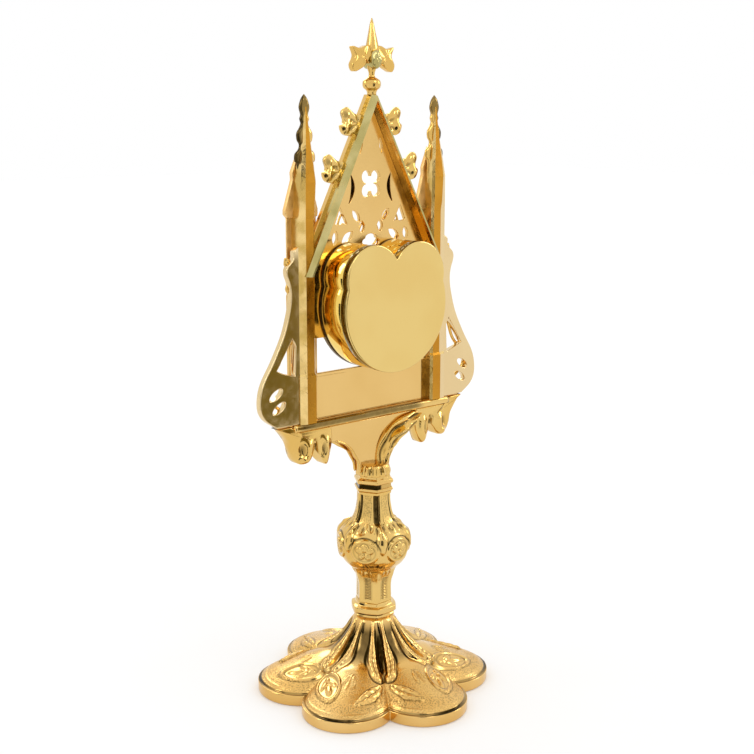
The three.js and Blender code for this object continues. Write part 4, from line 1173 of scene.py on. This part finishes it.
def make_pinnacle(side, hand):
    """A pillar with a rear bar that swells into a faceted spire, the leafy outline of
    the pinnacle in front of it, its little gable and the front block with two shafts."""
    node, mid, top = f"pinnacle_{hand}", PILLAR_X, GABLET_Z
    foot, front, back = FRONT_Z - 0.25, PLATE_Y[0] - 0.6, FRAME_Y[1]
    levels = np.array([
        (foot, BAR_HALF + 0.5, front, back + 0.8, APRON),
        (top - 3, BAR_HALF + 0.5, front, back + 0.8, APRON), (top + 1, 3.3, -3.6, 2.3, 1.6),
        (233, 3.5, -3.2, 2.8, 0.9), (240, 3.0, -2.4, 2.2, 0.5), (250, 1.8, -2, 1.3, 0.2),
        (263.5, 0.35, -1.4, 0, 0.05)])
    z = np.unique(np.concatenate([np.linspace(levels[0, 0], levels[-1, 0], 90), levels[:, 0]]))
    dense = np.column_stack([z] + [np.interp(z, levels[:, 0], column) for column in levels.T[1:]])
    rear_bar(f"pillar_bar_{hand}", node, side, dense)
    rear_bar(f"pillar_pedestal_{hand}", node, side, [
        (foot, BAR_HALF + 0.85, front, back + 1.3, APRON),
        (PANEL_TOP + 1, BAR_HALF + 0.85, front, back + 1.3, APRON),
        (PANEL_TOP + 2.6, BAR_HALF + 0.3, front, back + 0.6, APRON)])
    gablet = np.array([(1.2, 246), (5.2, 237), (5, 234), (9, top + 0.6), (9, top - 1.2),
                       (BLOCK_HALF, top - 2.6), (-BLOCK_HALF, top - 2.6), (-8, top - 1.2),
                       (-8, top + 0.6), (-4.6, 234), (-4.8, 237), (-1.2, 246)]) + [mid, 0]
    openwork(f"gablet_{hand}", node, densified(on_side(gablet, side), 1.5), [], (-5.0, -2.9), 0.3, TAN_GILT)
    make_spire_leaf(side, hand)
    block = densified([(mid - BLOCK_HALF, FRONT_Z), (mid + BLOCK_HALF, FRONT_Z),
                       (mid + BLOCK_HALF, top - 2), (mid - BLOCK_HALF, top - 2)], 3)
    openwork(f"pillar_block_{hand}", node, on_side(block, side), [],
             (FRAME_Y[0] + 0.5, PLATE_Y[0] - JOINT), 0.25, TAN_GILT)
    profile = [(FRONT_Z, 1.5), (FRONT_Z + 6, 1.5), (FRONT_Z + 8, 1.1), (FRONT_Z + 20, 1.1),
               (FRONT_Z + 21, 1.5), (FRONT_Z + 22, 0.9), (190, 0.85), (top - 4, 0.85),
               (top - 3, 1.2)]
    shafts = [turned(profile, 20, (side * (mid + aside), -5.1), 120) for aside in (-4.4, 4.4)]
    body(f"pillar_shafts_{hand}", node, shafts, CAST_GILT)


def rear_bar(name, node, side, levels):
    """A flat-sided bar whose square back is darker gilding, its apron and sides paler."""
    rings = post(PILLAR_X, levels, 0.3, 1.0) * [side, 1, 1]
    mesh = shell(name, node, rings, BAR_GILT, flat="all").data
    mesh.materials.append(UMBER_GILT)
    # the right bar's apron takes the paler wing gilding: painted light on that side alone
    mesh.materials.append(BAR_GILT if side > 0 else WING_GILT)
    aside, rearward, _ = face_normals(mesh).T
    index = np.where(rearward > 0.9, np.where(np.abs(aside) < 0.1, 1, 2), 0)
    mesh.polygons.foreach_set("material_index", index.astype(np.int32))


def make_spire_leaf(side, hand):
    """The pinnacle's leafy silhouette: a rounded section whose width at each height is
    the spire's, darkened by painted shade on its outer side and at the tip."""
    half = spline(SPIRE, 130, closed=False)[::-1]
    z = np.linspace(SPIRE_TIP - 0.15, SPIRE_FOOT, 150)[:, None]
    half = np.maximum(np.interp(z, half[:, 1], half[:, 0]), 0.12)
    s = full_turn(24)
    flat = np.sign(np.cos(s)) * np.abs(np.cos(s)) ** 0.7
    thick = 1.2 * np.sign(np.sin(s)) * np.abs(np.sin(s)) ** 0.7
    rings = grid(side * (PILLAR_X + half * flat), LEAF_Y + thick * np.minimum(1, half / 1.5), z)
    # painted shade on the outer side low down and on the tip
    dark = 0.9 * soft_step(np.cos(s), 0.1, 0.7) * soft_step(z, 234, 240)
    dark = np.maximum(dark, 0.65 * soft_step(z, 259, 262))
    shell(f"spire_leaf_{hand}", f"pinnacle_{hand}", rings, CAST_GILT, recess=dark)


# ------------------------------------------------------------------ finial
FINIAL_Y, KNOB_Z, HEIGHT = -1.2, 283.0, 300.0


def make_finial():
    """A bead, two curled leaves, one to each side of a knob, and a four-sided spike."""
    bead = turned([(268.55, 2.2), (269.6, 2.3), (270.4, 2.8), (271.4, 4.0), (272.9, 4.4), (274.4, 4.0),
                   (275.3, 2.7), (276, 1.6), (277.6, 1.5), (280, 2.2), (286, 2.6), (288.4, 1.9)], 96,
                  (0, FINIAL_Y), 90, lambda angle: 1 - 0.05 * (1 - np.cos(4 * angle)))
    leaf = spline([(-1, 279), (3, 281.4), (6.4, 279.4), (10.2, 278), (11.7, 280.6), (10, 284.4),
                   (11.2, 288.2), (7.4, 287.6), (3.6, 288.8), (-1, 288)], 120)
    points, faces = pillow(leaf, (5.6, 283.8), (FINIAL_Y - 1.1, FINIAL_Y + 1.1), 1.2, 0.5, 4, 18, 0.6)
    leaves = [(points * [side, 1, 1], faces) for side in (1, -1)]
    spike = post(0, [(z, half, FINIAL_Y - deep, FINIAL_Y + deep, 0) for z, half, deep in (
        (286, 2.6, 2.4), (288, 2.4, 2.1), (291, 1.8, 1.8), (294, 1.3, 1.3), (297.4, 0.8, 0.8),
        (HEIGHT, 0.2, 0.2))], 0.8, 0.25)
    body("finial_flower", "finial", [bead, *leaves, capped(spike)], CAST_GILT)
    knob = pillow(ellipse(0, KNOB_Z, 2.9, 3.9, count=60), (0, KNOB_Z), (FINIAL_Y - 2.6, FINIAL_Y + 2.6),
                  1.8, 0.3, 4, 14)
    body("finial_knob", "finial", [knob], PITTED_GILT)


# ------------------------------------------------------------------ studio
CAMERA_AZIMUTH, CAMERA_PITCH = math.radians(139.9), math.radians(12.068)
CAMERA_OUT, CAMERA_HEIGHT = 548.821, 263.055
LENS, SENSOR, SHIFT = 60.118, 36, 0.00456
FLOOR_REACH, FLOOR_LEVEL = 4000, -0.2
WHITE = (1, 1, 1, 1)


def make_camera():
    """A camera that looks down on the capsule's side of the part, from its left."""
    camera = bpy.data.objects.new("camera", bpy.data.cameras.new("camera"))
    bpy.context.scene.collection.objects.link(camera)
    out, up = CAMERA_OUT * MM, CAMERA_HEIGHT * MM
    camera.location = (math.sin(CAMERA_AZIMUTH) * out, -math.cos(CAMERA_AZIMUTH) * out, up)
    camera.rotation_euler = (math.pi / 2 - CAMERA_PITCH, 0, CAMERA_AZIMUTH)
    camera.data.lens = LENS
    camera.data.sensor_width = SENSOR
    camera.data.shift_x = SHIFT
    camera.data.clip_start = 0.01
    bpy.context.scene.camera = camera


def studio_sheet(name, corners, material, only_mirrored):
    """One flat face of the studio, from corners in millimetres. With only_mirrored it
    shows in reflections alone."""
    mesh = bpy.data.meshes.new(name)
    mesh.from_pydata([tuple(v * MM for v in corner) for corner in corners], [], [(0, 1, 2, 3)])
    mesh.materials.append(material)
    sheet = bpy.data.objects.new(name, mesh)
    bpy.context.scene.collection.objects.link(sheet)
    sheet.visible_camera = sheet.visible_diffuse = sheet.visible_shadow = not only_mirrored


def make_floor():
    """A wide pale floor that also glows a little, so it stays near white."""
    material, tree, shader = new_material("studio floor")
    mottle = spread(tree, noise(tree, own_place(tree), 8.0, 2.0), 0.3, 0.7)
    fill(tree, shader, {
        "Base Color": mix_colour(tree, mottle, (0.9, 0.9, 0.9, 1), (0.88, 0.88, 0.88, 1)),
        "Roughness": 0.9, "Specular IOR Level": 0.1, "Emission Color": WHITE, "Emission Strength": 0.12,
    })
    corners = [(x * FLOOR_REACH, y * FLOOR_REACH, FLOOR_LEVEL)
               for x, y in ((-1, -1), (1, -1), (1, 1), (-1, 1))]
    studio_sheet("studio_floor", corners, material, False)


def make_flag(name, centre, facing, width, low, high, tone=(0.004, 0.004, 0.004)):
    """A dark studio flag that only shows in reflections: it gives polished gilding its
    dark lines. `facing` is its azimuth in degrees as seen from the part."""
    material, tree, shader = new_material(name)
    weave = noise(tree, own_place(tree), 40.0)
    fill(tree, shader, {
        "Base Color": mix_colour(tree, weave, (*tone, 1), (*(1.5 * part for part in tone), 1)),
        "Roughness": 1.0, "Specular IOR Level": 0.0,
    })
    turn = math.radians(facing)
    aside = np.array([-math.sin(turn), math.cos(turn)]) * width / 2
    left, right = centre - aside, centre + aside
    studio_sheet(name, [(*left, low), (*right, low), (*right, high), (*left, high)], material, True)


def make_lamp(name, place, width, height, power):
    """A soft rectangular studio lamp aimed at the middle of the part."""
    data = bpy.data.lights.new(name, "AREA")
    data.shape = "RECTANGLE"
    data.size, data.size_y = width, height
    data.energy = power
    lamp = bpy.data.objects.new(name, data)
    bpy.context.scene.collection.objects.link(lamp)
    lamp.location = place
    away = Vector(place) - Vector((0, 0, 0.12))
    lamp.rotation_euler = away.to_track_quat("Z", "Y").to_euler()
    lamp.visible_camera = lamp.visible_diffuse = False


def make_light():
    """An even white surround that is a little brighter high up, dark flags and lamps."""
    world = bpy.data.worlds.new("soft surround")
    bpy.context.scene.world = world
    world.use_nodes = True
    tree = world.node_tree
    way = add_node(tree, "TexCoord").outputs["Generated"]
    high = spread(tree, add_node(tree, "SeparateXYZ", {0: way}).outputs["Z"], 0.15, 0.75)
    glow = mix_colour(tree, high, (0.98, 0.98, 0.97, 1), (1.05, 1.05, 1.05, 1))
    seen = add_node(tree, "LightPath").outputs["Is Camera Ray"]
    put(tree, tree.nodes["Background"].inputs["Color"], mix_colour(tree, seen, glow, WHITE))
    make_flag("camera flag", (200, 300), 56, 120, 4, 330)
    make_flag("low flag", (330, -40), -7, 90, 2, 200)
    make_flag("wing flag", (10, 60), 90, 30, 112, 194, (0.22, 0.19, 0.05))
    make_lamp("key", (0.25, 0.95, 1.0), 0.34, 0.5, 1.9)
    make_lamp("side", (0.95, -0.45, 0.75), 0.25, 0.6, 2.2)
    make_lamp("fill", (-0.95, 0.55, 0.6), 0.22, 0.55, 2.0)
    make_lamp("front", (-0.3, -1.1, 0.9), 0.5, 0.5, 2.8)
    bpy.context.scene.view_settings.view_transform = "Standard"


make_camera()
make_light()
make_floor()
make_foot()
make_stem()
make_collars()
make_web()
for side, hand in HANDS:
    make_corbel(side, hand)
make_arm_leaf("arm_leaf_back", 1)
make_arm_leaf("arm_leaf_front", -1)
make_moulding()
make_drum()
make_lid()
make_window()
make_back_panel()
for side, hand in HANDS:
    make_wing(side, hand)
    make_wing_foliage(side, hand)
make_tracery()
make_gable()
make_crockets()
for side, hand in HANDS:
    make_pinnacle(side, hand)
make_finial()
